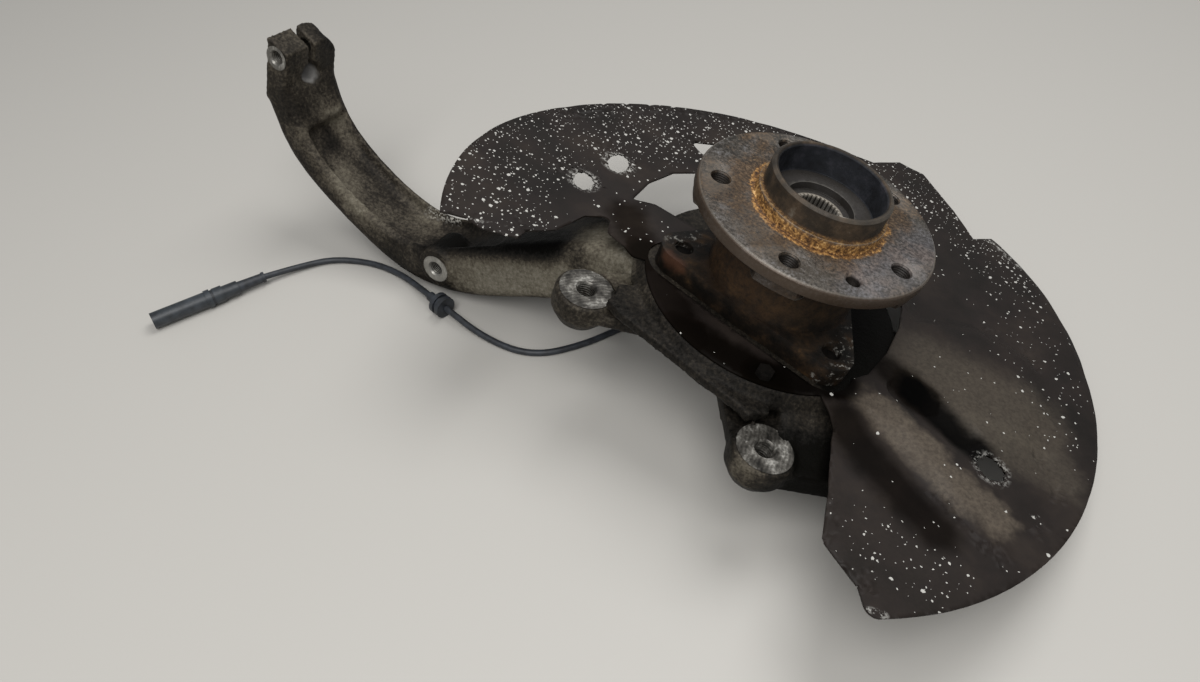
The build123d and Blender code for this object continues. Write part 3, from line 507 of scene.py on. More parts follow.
# %% Helpers for pattern scale, places and tints
SHIELD_HEIGHT = -69.0


def per_mm(size):
    return 1000.0 / size


def patch(tree, coords, start, end, inner, outer, ragged=0.0, grain=12.0):
    along = Vector(end) - Vector(start)
    slope = along / max(along.length_squared, 1e-9)
    wobble = add(tree, "ShaderNodeTexNoise", {"Vector": coords, "Scale": per_mm(grain), "Detail": 5.0})
    offset = add(tree, "ShaderNodeVectorMath", {0: coords, 1: start}, operation="SUBTRACT").outputs["Vector"]
    share = add(tree, "ShaderNodeVectorMath", {0: offset, 1: slope}, operation="DOT_PRODUCT").outputs["Value"]
    held = add(tree, "ShaderNodeClamp", {"Value": share}).outputs["Result"]
    nearest = add(tree, "ShaderNodeVectorMath", {0: along, "Scale": held}, operation="SCALE").outputs["Vector"]
    far = add(tree, "ShaderNodeVectorMath", {0: offset, 1: nearest}, operation="DISTANCE").outputs["Value"]
    edge = add(tree, "ShaderNodeMath", {0: wobble.outputs["Fac"], 1: ragged * MM, 2: far}, operation="MULTIPLY_ADD")
    fade = add(tree, "ShaderNodeMapRange", {
        "Value": edge.outputs[0], "From Min": (inner + ragged / 2) * MM, "From Max": (outer + ragged / 2) * MM,
        "To Min": 1.0, "To Max": 0.0,
    }, interpolation_type="SMOOTHSTEP")
    return fade.outputs["Result"]


def tint(tree, base, mask, strength, code):
    share = add(tree, "ShaderNodeMath", {0: mask, 1: strength}, operation="MULTIPLY").outputs[0]
    laid = add(tree, "ShaderNodeMixRGB", {"Fac": share, "Color1": base, "Color2": linear(code)})
    return laid.outputs["Color"]


def row_mm(x, y, z):
    return Vector((x, y, z)) * MM


def on_shield(radius, angle):
    spot = ring_spot(radius, angle)
    return from_hub(spot.x, spot.y, SHIELD_HEIGHT)


print("a 5 mm pattern has scale", per_mm(5))

# %% [markdown]
# Sand-cast aluminium is a dull warm grey with a fine grain. On the road it takes up oil and brake dust, so
# most of it is brown-black. The film is thinner on the arm's rims and in a patch along its near side, where it
# breaks up into specks over the bare metal, and a few scuffs are scraped bright.

# %% Finish: sand-cast aluminium, oily and grimy
# start, end, full and outer reach in mm, and the strength, which is one for all scuffs
BARE = [
    (row_mm(-226, 74, -120), row_mm(-152, 36, -90), 8, 26, 0.30),
    (row_mm(-127, 48, -62), row_mm(-112, 20, -66), 8, 30, 0.26),
    (row_mm(-352, 158, -56), row_mm(-318, 132, -97), 4, 16, 0.10),
    (row_mm(-318, 150, -92), row_mm(-262, 128, -124), 8, 24, 0.08),
    (row_mm(-334, 184, -62), row_mm(-318, 156, -90), 8, 22, 0.09),
    (row_mm(-356, 172, 0), row_mm(-352, 176, -40), 20, 45, 0.05),
    (row_mm(-318, 132, -97), row_mm(-268, 106, -128), 3, 14, 0.10),
    (row_mm(-330, 190, -64), row_mm(-258, 150, -124), 4, 15, 0.12),
    (row_mm(-104, -24, -52), row_mm(-50, -86, -62), 6, 24, 0.05),
    (row_mm(-44, -128, -84), row_mm(-30, -132, -84), 6, 20, 0.24),
    (row_mm(-148, -14, -60), row_mm(-128, -30, -58), 5, 18, 0.14),
]
GRIMY = [
    (row_mm(-338, 180, -68), row_mm(-334, 176, -74), 2, 13, 0.14),
    (row_mm(-252, 112, -114), row_mm(-160, 54, -72), 4, 20, 0.32),
    (row_mm(-20, -128, -92), row_mm(30, -128, -96), 12, 40, 0.30),
    (from_hub(-104, -34, -77), from_hub(-30, -93, -77), 12, 34, 0.07),
    (from_hub(40, -56, -72), from_hub(82, -6, -72), 18, 30, 0.45),
]
SCUFFS = [
    (row_mm(-262, 150, -121), row_mm(-240, 139, -121), 0.5, 6.0),
    (row_mm(-140, 30, -76), row_mm(-136, 26, -76), 0.3, 3.0),
]
cast_aluminium, tree, shader = new_material("sand_cast_aluminium")
coords = add(tree, "ShaderNodeTexCoord").outputs["Object"]
broad = add(tree, "ShaderNodeTexNoise", {"Vector": coords, "Scale": per_mm(42), "Detail": 9.0, "Roughness": 0.6})
grain = add(tree, "ShaderNodeTexNoise", {"Vector": coords, "Scale": per_mm(2.4), "Detail": 6.0, "Roughness": 0.72})
film = add(tree, "ShaderNodeMixRGB", {"Fac": 0.6, "Color1": broad.outputs["Fac"], "Color2": grain.outputs["Fac"]})
level = film.outputs["Color"]
for places_of_wear, sign in ((BARE, 1.0), (GRIMY, -1.0)):
    for start, end, inner, outer, strength in places_of_wear:
        mask = patch(tree, coords, start, end, inner, outer, 16.0, 13.0)
        level = add(tree, "ShaderNodeMath", {
            0: mask, 1: sign * strength, 2: level}, operation="MULTIPLY_ADD").outputs[0]
rubbed = add(tree, "ShaderNodeNewGeometry").outputs["Pointiness"]
worn_edge = add(tree, "ShaderNodeMapRange", {
    "Value": rubbed, "From Min": 0.52, "From Max": 0.62, "To Min": 0.0, "To Max": 0.12})
level = add(tree, "ShaderNodeMath", {0: level, 1: worn_edge.outputs["Result"]}, operation="ADD").outputs[0]
colour = add(tree, "ShaderNodeValToRGB", {"Fac": level}, stops=[
    (0.36, "#0A0907"), (0.47, "#181511"), (0.56, "#28231C"), (0.65, "#464036"), (0.77, "#666053"), (0.94, "#888377")])
tone = colour.outputs["Color"]
streaks = add(tree, "ShaderNodeTexNoise", {"Vector": coords, "Scale": per_mm(1.8), "Detail": 4.0, "Roughness": 0.6})
flecked = add(tree, "ShaderNodeMapRange", {
    "Value": streaks.outputs["Fac"], "From Min": 0.50, "From Max": 0.58, "To Min": 0.0, "To Max": 1.0})
for start, end, inner, outer in SCUFFS:
    mask = patch(tree, coords, start, end, inner, outer, 5.0, 4.0)
    scraped = add(tree, "ShaderNodeMath", {0: mask, 1: flecked.outputs["Result"]}, operation="MULTIPLY").outputs[0]
    tone = tint(tree, tone, scraped, 0.8, "#C2BEB4")
bore_rub = patch(tree, coords, row_mm(-345, 196, -25), row_mm(-347, 191, -27), 3, 8, 3.0, 4.0)
tone = tint(tree, tone, bore_rub, 0.7, "#9C9A97")
wet = add(tree, "ShaderNodeMapRange", {
    "Value": level, "From Min": 0.30, "From Max": 0.60, "To Min": 0.04, "To Max": 0.26})
tree.links.new(wet.outputs["Result"], shader.inputs["Specular IOR Level"])
gloss = add(tree, "ShaderNodeMapRange", {
    "Value": level, "From Min": 0.35, "From Max": 0.75, "To Min": 0.52, "To Max": 0.74})
bump = add(tree, "ShaderNodeBump", {"Height": grain.outputs["Fac"], "Strength": 0.8, "Distance": 0.6 * MM})
tree.links.new(tone, shader.inputs["Base Color"])
tree.links.new(gloss.outputs["Result"], shader.inputs["Roughness"])
tree.links.new(bump.outputs["Normal"], shader.inputs["Normal"])
shader.inputs["Metallic"].default_value = 0.2
print("cast aluminium nodes", len(tree.nodes))

# %% [markdown]
# The machined faces are the same metal without its skin: bright where bolts and brackets have rubbed, dulled by
# grime in the cutter's rings and furred with white corrosion. The wide arcs that the facing cutter left across
# both lugs have one centre, beside the bearing seat.

# %% Finish: machined aluminium, half corroded
SWEEP_CENTRE = from_hub(-88, -88, -86)
ARC_PITCH = 2.4
machined_aluminium, tree, shader = new_material("machined_aluminium")
coords = add(tree, "ShaderNodeTexCoord").outputs["Object"]
cloud = add(tree, "ShaderNodeTexNoise", {"Vector": coords, "Scale": per_mm(9), "Detail": 8.0, "Roughness": 0.65})
speck = add(tree, "ShaderNodeTexNoise", {"Vector": coords, "Scale": per_mm(1.6), "Detail": 6.0, "Roughness": 0.7})
sweep = add(tree, "ShaderNodeVectorMath", {0: coords, 1: SWEEP_CENTRE}, operation="SUBTRACT").outputs["Vector"]
arcs = add(tree, "ShaderNodeTexWave", {
    "Vector": sweep, "Scale": per_mm(ARC_PITCH) * math.pi / 10, "Distortion": 5.0, "Detail": 3.0, "Detail Scale": 1.5,
}, wave_type="RINGS", rings_direction="SPHERICAL")
marked = add(tree, "ShaderNodeMath", {
    0: arcs.outputs["Fac"], 1: 0.07, 2: cloud.outputs["Fac"]}, operation="MULTIPLY_ADD")
metal = add(tree, "ShaderNodeValToRGB", {"Fac": marked.outputs[0]}, stops=[
    (0.38, "#23211E"), (0.51, "#4A4742"), (0.63, "#716E68"), (0.78, "#B0AEA8")])
furred = add(tree, "ShaderNodeMath", {0: cloud.outputs["Fac"], 1: speck.outputs["Fac"]}, operation="MULTIPLY")
white = add(tree, "ShaderNodeMapRange", {
    "Value": furred.outputs[0], "From Min": 0.30, "From Max": 0.38, "To Min": 0.0, "To Max": 0.6})
tone = tint(tree, metal.outputs["Color"], white.outputs["Result"], 1.0, "#BDBAB2")
for spot, strength in ((from_arm(*BOSS), 0.5), (from_arm(*PINCH_SEAT), 0.2)):
    tone = tint(tree, tone, patch(tree, coords, spot, spot, 9, 13, 4.0, 5.0), strength, "#A9A7A0")
bump = add(tree, "ShaderNodeBump", {"Height": speck.outputs["Fac"], "Strength": 0.35, "Distance": 0.25 * MM})
dull = add(tree, "ShaderNodeMapRange", {
    "Value": white.outputs["Result"], "From Min": 0.0, "From Max": 0.7, "To Min": 0.34, "To Max": 0.75})
tree.links.new(tone, shader.inputs["Base Color"])
tree.links.new(dull.outputs["Result"], shader.inputs["Roughness"])
tree.links.new(bump.outputs["Normal"], shader.inputs["Normal"])
shader.inputs["Metallic"].default_value = 0.55
print("machined aluminium nodes", len(tree.nodes))

# %% [markdown]
# The hub is turned steel. Its face has gone blue-grey with brown rust blooming through it, more so towards the
# spigot. Distance from the hub's axis and height along it tell its places apart, so the coordinates are first
# turned to the hub's frame.

# %% Finish: turned steel, rusting
hub_steel, tree, shader = new_material("turned_hub_steel")
coords = add(tree, "ShaderNodeTexCoord").outputs["Object"]
level_hub = add(tree, "ShaderNodeMapping", {"Vector": coords, "Rotation": (0.0, -LEAN, 0.0)}).outputs["Vector"]
height = add(tree, "ShaderNodeSeparateXYZ", {"Vector": level_hub}).outputs["Z"]
flat = add(tree, "ShaderNodeVectorMath", {0: level_hub, 1: (1.0, 1.0, 0.0)}, operation="MULTIPLY").outputs["Vector"]
radius = add(tree, "ShaderNodeVectorMath", {0: flat}, operation="LENGTH").outputs["Value"]
cloud = add(tree, "ShaderNodeTexNoise", {"Vector": coords, "Scale": per_mm(15), "Detail": 10.0, "Roughness": 0.66})
speck = add(tree, "ShaderNodeTexNoise", {"Vector": coords, "Scale": per_mm(2.0), "Detail": 6.0, "Roughness": 0.72})
bloom = add(tree, "ShaderNodeTexNoise", {"Vector": coords, "Scale": per_mm(26), "Detail": 9.0, "Roughness": 0.62})
mottle = add(tree, "ShaderNodeMixRGB", {"Fac": 0.6, "Color1": cloud.outputs["Fac"], "Color2": speck.outputs["Fac"]})
steel = add(tree, "ShaderNodeValToRGB", {"Fac": mottle.outputs["Color"]}, stops=[
    (0.36, "#120F0C"), (0.44, "#2B2620"), (0.50, "#46413A"), (0.56, "#625F5D"), (0.66, "#9A999D")])
rust = add(tree, "ShaderNodeValToRGB", {"Fac": speck.outputs["Fac"]}, stops=[
    (0.30, "#1E150D"), (0.46, "#3D2E1F"), (0.58, "#5E4A34"), (0.72, "#866E4E")])
inward = add(tree, "ShaderNodeMapRange", {
    "Value": radius, "From Min": 40 * MM, "From Max": 70 * MM, "To Min": 0.11, "To Max": -0.05}).outputs["Result"]
frayed = add(tree, "ShaderNodeMath", {0: speck.outputs["Fac"], 1: 0.4, 2: inward}, operation="MULTIPLY_ADD").outputs[0]
amount = add(tree, "ShaderNodeMath", {0: bloom.outputs["Fac"], 1: frayed}, operation="ADD").outputs[0]
rusted = add(tree, "ShaderNodeMapRange", {
    "Value": amount, "From Min": 0.63, "From Max": 0.77, "To Min": 0.0, "To Max": 0.9}).outputs["Result"]
tone = add(tree, "ShaderNodeMixRGB", {
    "Fac": rusted, "Color1": steel.outputs["Color"], "Color2": rust.outputs["Color"]}).outputs["Color"]
spotted = add(tree, "ShaderNodeMapRange", {
    "Value": speck.outputs["Fac"], "From Min": 0.40, "From Max": 0.58, "To Min": 0.3, "To Max": 1.0}).outputs["Result"]
# the first patch is a painted highlight: the face is made paler towards its front right; the other two are brown rust
for start, end, strength, code in (
    (from_hub(14, -66, 0), from_hub(66, -14, 0), 0.45, "#77767B"),
    (from_hub(-66, 16, 0), from_hub(-50, -36, 0), 0.40, "#352C23"),
    (from_hub(-40, -48, 0), from_hub(-8, -56, 0), 0.35, "#3C3226"),
):
    mask = patch(tree, coords, start, end, 5, 24, 18.0, 9.0)
    shown = add(tree, "ShaderNodeMath", {0: mask, 1: spotted}, operation="MULTIPLY").outputs[0]
    tone = tint(tree, tone, shown, strength, code)
print("hub face nodes", len(tree.nodes))

# %% [markdown]
# Each place on the hub is a zone of its radius or its height that fades in between two sizes. A noise pushes
# the outer border of the rust ring about. Where two zones cross lie the ends of the splines, the flange's
# underside, the bolt holes and the line along the rim.

# %% Zones of the hub
ring_place = add(tree, "ShaderNodeMath", {
    0: cloud.outputs["Fac"], 1: 16 * MM, 2: radius}, operation="MULTIPLY_ADD").outputs[0]
# what is measured, from and to in mm, and the mask's values there
ZONES = {
    "ring": (ring_place, 52.2, 50.4, 0.0, 1.0),
    "wall": (height, 5.0, 8.5, 0.0, 1.0),
    "cup": (radius, 33.3, 34.2, 1.0, 0.0),
    "cup_floor": (radius, 32.6, 31.4, 0.0, 0.7),
    "bore": (radius, 17.0, 16.4, 0.0, 0.9),
    "tooth_end": (height, -4.4, -3.2, 0.12, 1.0),
    "lower": (height, -3.0, -9.0, 0.0, 0.65),
    "outside": (radius, 34, 36, 0.0, 1.0),
    "sunk": (height, -0.8, -2.2, 0.0, 0.85),
    "bolt_circle": (radius, 71.0, 70.0, 0.0, 1.0),
    "rim_side": (radius, 72.4, 73.6, 0.0, 0.85),
    "on_top": (height, -1.0, -0.3, 0.0, 0.7),
    "off_rim": (radius, 71.0, 73.0, 1.0, 0.0),
}
zone = {}
for name, (along, start, end, low, high) in ZONES.items():
    zone[name] = add(tree, "ShaderNodeMapRange", {
        "Value": along, "From Min": start * MM, "From Max": end * MM, "To Min": low, "To Max": high}).outputs["Result"]
for name, first, second in (
    ("tooth_tip", "tooth_end", "bore"), ("under", "lower", "outside"), ("sunk_holes", "sunk", "bolt_circle"),
    ("bolt_holes", "sunk_holes", "outside"), ("rim_line", "rim_side", "on_top"),
):
    zone[name] = add(tree, "ShaderNodeMath", {0: zone[first], 1: zone[second]}, operation="MULTIPLY").outputs[0]
print("hub zones", list(zone))

# %% [markdown]
# Where water sat at the foot of the spigot the rust is bright orange, with a pale crust along both borders of
# the ring. The spigot's wall is brown, and inside the cup the steel is darkened as painted shade. The other zones have
# one tone each: the bore, the bolt holes and the flange's underside are painted shade, and the edges are rubbed bare in
# places.

# %% Rust ring, spigot, cup, bore and rim of the hub
crust = speck.outputs["Fac"]
for distance, middle, gain in ((ring_place, 50.6, 0.11), (radius, 38.6, 0.14)):
    off = add(tree, "ShaderNodeMath", {0: distance, 1: middle * MM}, operation="SUBTRACT").outputs[0]
    away = add(tree, "ShaderNodeMath", {0: off}, operation="ABSOLUTE").outputs[0]
    line = add(tree, "ShaderNodeMapRange", {
        "Value": away, "From Min": 0.3 * MM, "From Max": 2.0 * MM, "To Min": gain, "To Max": 0.0}).outputs["Result"]
    crust = add(tree, "ShaderNodeMath", {0: crust, 1: line}, operation="ADD").outputs[0]
# the cup's row is painted shade: the inner wall of the cup is darkened where shade falls
for name, pattern, stops in (
    ("ring", crust, [
        (0.34, "#2A1B0D"), (0.48, "#503720"), (0.58, "#77552F"), (0.67, "#B08449"), (0.80, "#E4C48E")]),
    ("wall", cloud.outputs["Fac"], [(0.32, "#17120D"), (0.50, "#2F261B"), (0.62, "#47392A"), (0.74, "#6E665A")]),
    ("cup", cloud.outputs["Fac"], [(0.34, "#0D0D10"), (0.52, "#1E2025"), (0.66, "#35343A"), (0.80, "#4A453F")]),
):
    shade = add(tree, "ShaderNodeValToRGB", {"Fac": pattern}, stops=stops).outputs["Color"]
    tone = add(tree, "ShaderNodeMixRGB", {"Fac": zone[name], "Color1": tone, "Color2": shade}).outputs["Color"]
# of these, the bore, the bolt holes and the flange's underside are painted shade: dark tones in the holes and under the
# flange
for name, code in (
    ("cup_floor", "#2F2A24"), ("bore", "#0B0907"), ("tooth_tip", "#857E73"), ("under", "#2C2119"),
    ("bolt_holes", "#120D09"), ("rim_side", "#43362A"), ("rim_line", "#A09A90"),
):
    tone = tint(tree, tone, zone[name], 1.0, code)
rubbed = add(tree, "ShaderNodeNewGeometry").outputs["Pointiness"]
bright = add(tree, "ShaderNodeMapRange", {
    "Value": rubbed, "From Min": 0.515, "From Max": 0.60, "To Min": 0.0, "To Max": 0.85}).outputs["Result"]
broken = add(tree, "ShaderNodeMapRange", {
    "Value": bloom.outputs["Fac"], "From Min": 0.40, "From Max": 0.60, "To Min": 0.25, "To Max": 1.0}).outputs["Result"]
edge_light = add(tree, "ShaderNodeMath", {0: bright, 1: broken}, operation="MULTIPLY").outputs[0]
edge_light = add(tree, "ShaderNodeMath", {0: edge_light, 1: zone["off_rim"]}, operation="MULTIPLY").outputs[0]
tone = tint(tree, tone, edge_light, 1.0, "#B4AFA6")
pits = add(tree, "ShaderNodeBump", {"Height": speck.outputs["Fac"], "Strength": 0.5, "Distance": 0.4 * MM})
dull = add(tree, "ShaderNodeMapRange", {
    "Value": amount, "From Min": 0.65, "From Max": 0.85, "To Min": 0.40, "To Max": 0.74}).outputs["Result"]
tree.links.new(tone, shader.inputs["Base Color"])
tree.links.new(dull, shader.inputs["Roughness"])
tree.links.new(pits.outputs["Normal"], shader.inputs["Normal"])
shader.inputs["Metallic"].default_value = 0.4
print("hub steel nodes", len(tree.nodes))

# %% [markdown]
# The bearing's outer ring is forged steel that was never painted. It is dark with wet rust, orange-brown on the
# barrel under the hub, redder where fresh rust shows, with white salts along its lower lug.

# %% Finish: forged bearing steel, dark rust
bearing_steel, tree, shader = new_material("forged_bearing_steel")
coords = add(tree, "ShaderNodeTexCoord").outputs["Object"]
cloud = add(tree, "ShaderNodeTexNoise", {"Vector": coords, "Scale": per_mm(13), "Detail": 9.0, "Roughness": 0.64})
salt = add(tree, "ShaderNodeTexNoise", {"Vector": coords, "Scale": per_mm(4.5), "Detail": 7.0, "Roughness": 0.75})
dark_rust = add(tree, "ShaderNodeValToRGB", {"Fac": cloud.outputs["Fac"]}, stops=[
    (0.36, "#0A0805"), (0.50, "#18120C"), (0.60, "#2B2015"), (0.72, "#48341F")])
tone = dark_rust.outputs["Color"]
barrel_rust = add(tree, "ShaderNodeMapRange", {
    "Value": salt.outputs["Fac"], "From Min": 0.38, "From Max": 0.62, "To Min": 0.2, "To Max": 1.0}).outputs["Result"]
for start, end, inner, outer, strength, code in (
    (from_hub(-47, -5, -40), from_hub(-20, -42, -38), 8, 24, 0.55, "#4E3720"),
    (from_hub(-10, -47, -36), from_hub(26, -40, -34), 6, 20, 0.50, "#463421"),
):
    mask = patch(tree, coords, start, end, inner, outer, 14.0, 9.0)
    spotted = add(tree, "ShaderNodeMath", {0: mask, 1: barrel_rust}, operation="MULTIPLY").outputs[0]
    tone = tint(tree, tone, spotted, strength, code)
fresh = patch(tree, coords, from_hub(-74, -2, -58), from_hub(-68, -8, -58), 2, 9, 6.0, 5.0)
tone = tint(tree, tone, fresh, 0.3, "#6E4630")
salty = add(tree, "ShaderNodeMapRange", {
    "Value": salt.outputs["Fac"], "From Min": 0.55, "From Max": 0.63, "To Min": 0.0, "To Max": 1.0}).outputs["Result"]
for start, end, inner, outer, strength in (
    (from_hub(30, -64, -60), from_hub(48, -40, -58), 5, 16, 0.75),
    (from_hub(-66, 16, -57), from_hub(-56, 22, -57), 3, 12, 0.6),
    (from_hub(20, -70, -68), from_hub(34, -66, -62), 3, 10, 0.6),
):
    mask = patch(tree, coords, start, end, inner, outer, 9.0, 6.0)
    white = add(tree, "ShaderNodeMath", {0: mask, 1: salty}, operation="MULTIPLY").outputs[0]
    tone = tint(tree, tone, white, strength, "#A5A29A")
pits = add(tree, "ShaderNodeBump", {"Height": salt.outputs["Fac"], "Strength": 0.6, "Distance": 0.6 * MM})
tree.links.new(tone, shader.inputs["Base Color"])
tree.links.new(pits.outputs["Normal"], shader.inputs["Normal"])
shader.inputs["Roughness"].default_value = 0.55
shader.inputs["Metallic"].default_value = 0.15
shader.inputs["Specular IOR Level"].default_value = 0.25
print("bearing steel nodes", len(tree.nodes))

# %% [markdown]
# The shield is steel sheet in satin black paint that has browned. Road dust clings to its plateau. Oil and painted
# shade darken the groove, the hollow beside it and the neck, where shade falls in the hollows and under the hub. Stones
# have chipped the outer face to bright metal, thickly on the left wing and the far rim and more thinly on the right
# wing. These places come first.

# %% Where the shield is dusty, oily with painted shade, chipped and bare
# start, end, full and outer reach in mm, strength, and the colour that is laid on there
DUSTY = [
    (on_shield(98, -57), on_shield(186, -54), 7, 18, 0.82, "#5A5146"),
    (on_shield(110, -24), on_shield(168, -24), 16, 44, 0.68, "#4E473D"),
    (on_shield(150, -36), on_shield(196, -34), 8, 26, 0.55, "#4F483E"),
    (on_shield(88, -40), on_shield(90, -10), 4, 14, 0.40, "#3A342E"),
    (on_shield(196, -76), on_shield(170, -88), 10, 50, 0.25, "#332D28"),
]
# oil and painted shade: dark tones in the groove, the hollow and the neck, where shade falls in the hollows and under
# the hub
OIL_AND_PAINTED_SHADE = [
    (on_shield(88, -36), on_shield(106, -37), 6.0, 20.0, 0.80, "#060505"),
    (on_shield(104, -36.5), on_shield(154, -42), 6.0, 16.0, 0.95, "#050505"),
    (on_shield(104, -72), on_shield(176, -66), 7, 22, 0.70, "#0A0908"),
    (on_shield(76, -64), on_shield(78, -100), 8, 18, 0.90, "#060504"),
    (on_shield(78, -100), on_shield(80, -140), 8, 18, 0.85, "#080604"),
    (on_shield(80, -140), on_shield(86, 172), 8, 16, 0.75, "#0D0A08"),
    (on_shield(86, 172), on_shield(110, 150), 6, 18, 0.50, "#12100D"),
]
CHIPPED = [
    (on_shield(188, 178), on_shield(198, 150), 26, 50, 0.9),
    (on_shield(198, 150), on_shield(194, 118), 26, 50, 0.9),
    (on_shield(182, 120), on_shield(184, 60), 24, 50, 1.0),
    (on_shield(215, 50), on_shield(222, 20), 16, 44, 0.85),
    (on_shield(205, 20), on_shield(196, -20), 12, 40, 0.30),
    (on_shield(172, -80), on_shield(196, -72), 12, 34, 0.50),
    (on_shield(100, 160), on_shield(120, 120), 12, 30, 0.14),
]
BARE_SPOTS = [
    (on_shield(165, -44), on_shield(165, -44), 10.0, 14.0, 0.40),
    (on_shield(146.5, 147), on_shield(146.5, 147), 9.0, 14.5, 0.8),
    (on_shield(146.5, 132), on_shield(146.5, 132), 10.5, 15.0, 0.8),
    (on_shield(168, 175), on_shield(196, 177), 0.8, 3.0, 0.7),
    (on_shield(216, -85), on_shield(219, -83), 0.6, 3.0, 0.6),
    (on_shield(196, -47), on_shield(200, -46), 0.4, 1.6, 1.0),
    (on_shield(222, 30), on_shield(226, 22), 0.6, 4.0, 0.5),
]
print("places of wear", len(DUSTY) + len(OIL_AND_PAINTED_SHADE) + len(CHIPPED) + len(BARE_SPOTS))

# %% [markdown]
# Dust is laid on broken up by a fine noise, and the oil with its painted shade is laid on whole. These dark places also
# take away the paint's sheen.

# %% Finish: black paint on steel sheet, dust, oil and painted shade
SHEEN, OIL_DULLS = 0.2, -0.18
shield_paint, tree, shader = new_material("chipped_black_paint")
coords = add(tree, "ShaderNodeTexCoord").outputs["Object"]
cloud = add(tree, "ShaderNodeTexNoise", {"Vector": coords, "Scale": per_mm(45), "Detail": 9.0, "Roughness": 0.62})
fine = add(tree, "ShaderNodeTexNoise", {"Vector": coords, "Scale": per_mm(2.6), "Detail": 6.0, "Roughness": 0.72})
paint = add(tree, "ShaderNodeValToRGB", {"Fac": cloud.outputs["Fac"]}, stops=[
    (0.32, "#15110E"), (0.50, "#1F1916"), (0.68, "#2B241F")])
tone = paint.outputs["Color"]
broken = add(tree, "ShaderNodeMapRange", {
    "Value": fine.outputs["Fac"], "From Min": 0.36, "From Max": 0.62, "To Min": 0.45, "To Max": 1.0}).outputs["Result"]
for start, end, inner, outer, strength, code in DUSTY:
    mask = patch(tree, coords, start, end, inner, outer, 22.0, 11.0)
    dust = add(tree, "ShaderNodeMath", {0: mask, 1: broken}, operation="MULTIPLY").outputs[0]
    tone = tint(tree, tone, dust, strength, code)
sheen = SHEEN
# painted shade and oil: each dark band is laid on whole and lowers the sheen
for start, end, inner, outer, strength, code in OIL_AND_PAINTED_SHADE:
    mask = patch(tree, coords, start, end, inner, outer, 9.0, 11.0)
    tone = tint(tree, tone, mask, strength, code)
    sheen = add(
        tree, "ShaderNodeMath", {0: mask, 1: OIL_DULLS, 2: sheen}, operation="MULTIPLY_ADD", use_clamp=True).outputs[0]
print("shield nodes with dust and oil", len(tree.nodes))

# %% [markdown]
# A chip is a cell of a fine Voronoi pattern: only cells whose random value is low enough show, which gives
# scattered flecks, and the number of flecks follows a density that changes from place to place. The pattern
# lies flat on the sheet, turned a little, and a noise bends its borders. Only the outer face is struck.

# %% Finish: chips down to bright metal
FEWEST_CHIPS = 0.04
PATTERN_TURN = 0.6
density = FEWEST_CHIPS
for start, end, inner, outer, strength in CHIPPED:
    mask = patch(tree, coords, start, end, inner, outer, 26.0, 30.0)
    part = add(tree, "ShaderNodeMath", {0: mask, 1: strength}, operation="MULTIPLY").outputs[0]
    density = add(tree, "ShaderNodeMath", {0: density, 1: part}, operation="MAXIMUM").outputs[0]
level_sheet = add(tree, "ShaderNodeMapping", {"Vector": coords, "Rotation": (0.0, -LEAN, 0.0)}).outputs["Vector"]
sheet = add(tree, "ShaderNodeMapping", {"Vector": level_sheet, "Rotation": (0.0, 0.0, PATTERN_TURN)}).outputs["Vector"]
bend = add(tree, "ShaderNodeTexNoise", {"Vector": coords, "Scale": per_mm(1.9), "Detail": 3.0}).outputs["Color"]
warped = add(tree, "ShaderNodeVectorMath", {
    0: bend, 1: (2.0 * MM,) * 3, 2: sheet}, operation="MULTIPLY_ADD").outputs["Vector"]
chips = 0.0
for cell, smallest, spread, share in ((5.6, 0.05, 0.17, 0.50), (2.8, 0.07, 0.17, 0.38)):
    cells = add(tree, "ShaderNodeTexVoronoi", {"Vector": warped, "Scale": per_mm(cell)}, voronoi_dimensions="2D")
    chance = add(tree, "ShaderNodeSeparateColor", {"Color": cells.outputs["Color"]})
    needed = add(tree, "ShaderNodeMath", {0: density, 1: share}, operation="MULTIPLY").outputs[0]
    lucky = add(tree, "ShaderNodeMath", {0: chance.outputs["Red"], 1: needed}, operation="LESS_THAN").outputs[0]
    size = add(tree, "ShaderNodeMath", {0: chance.outputs["Green"], 1: 2.0}, operation="POWER").outputs[0]
    reach = add(tree, "ShaderNodeMath", {0: size, 1: spread, 2: smallest}, operation="MULTIPLY_ADD").outputs[0]
    inside = add(tree, "ShaderNodeMath", {0: cells.outputs["Distance"], 1: reach}, operation="LESS_THAN").outputs[0]
    both = add(tree, "ShaderNodeMath", {0: lucky, 1: inside}, operation="MULTIPLY").outputs[0]
    chips = add(tree, "ShaderNodeMath", {0: chips, 1: both}, operation="MAXIMUM").outputs[0]
flaky = add(tree, "ShaderNodeMapRange", {
    "Value": fine.outputs["Fac"], "From Min": 0.50, "From Max": 0.55, "To Min": 0.0, "To Max": 1.0}).outputs["Result"]
for start, end, inner, outer, strength in BARE_SPOTS:
    mask = patch(tree, coords, start, end, inner, outer, 3.0, 3.0)
    flakes = add(tree, "ShaderNodeMath", {0: mask, 1: flaky}, operation="MULTIPLY").outputs[0]
    part = add(tree, "ShaderNodeMath", {0: flakes, 1: strength}, operation="MULTIPLY").outputs[0]
    chips = add(tree, "ShaderNodeMath", {0: chips, 1: part}, operation="MAXIMUM").outputs[0]
geometry = add(tree, "ShaderNodeNewGeometry")
outward = add(tree, "ShaderNodeVectorMath", {
    0: geometry.outputs["Normal"], 1: from_hub(0, 0, 1000)}, operation="DOT_PRODUCT").outputs["Value"]
outer_face = add(tree, "ShaderNodeMath", {0: outward, 1: 0.2}, operation="GREATER_THAN").outputs[0]
struck = add(tree, "ShaderNodeMath", {0: chips, 1: outer_face}, operation="MULTIPLY").outputs[0]
tone = tint(tree, tone, struck, 1.0, "#B3B1AB")
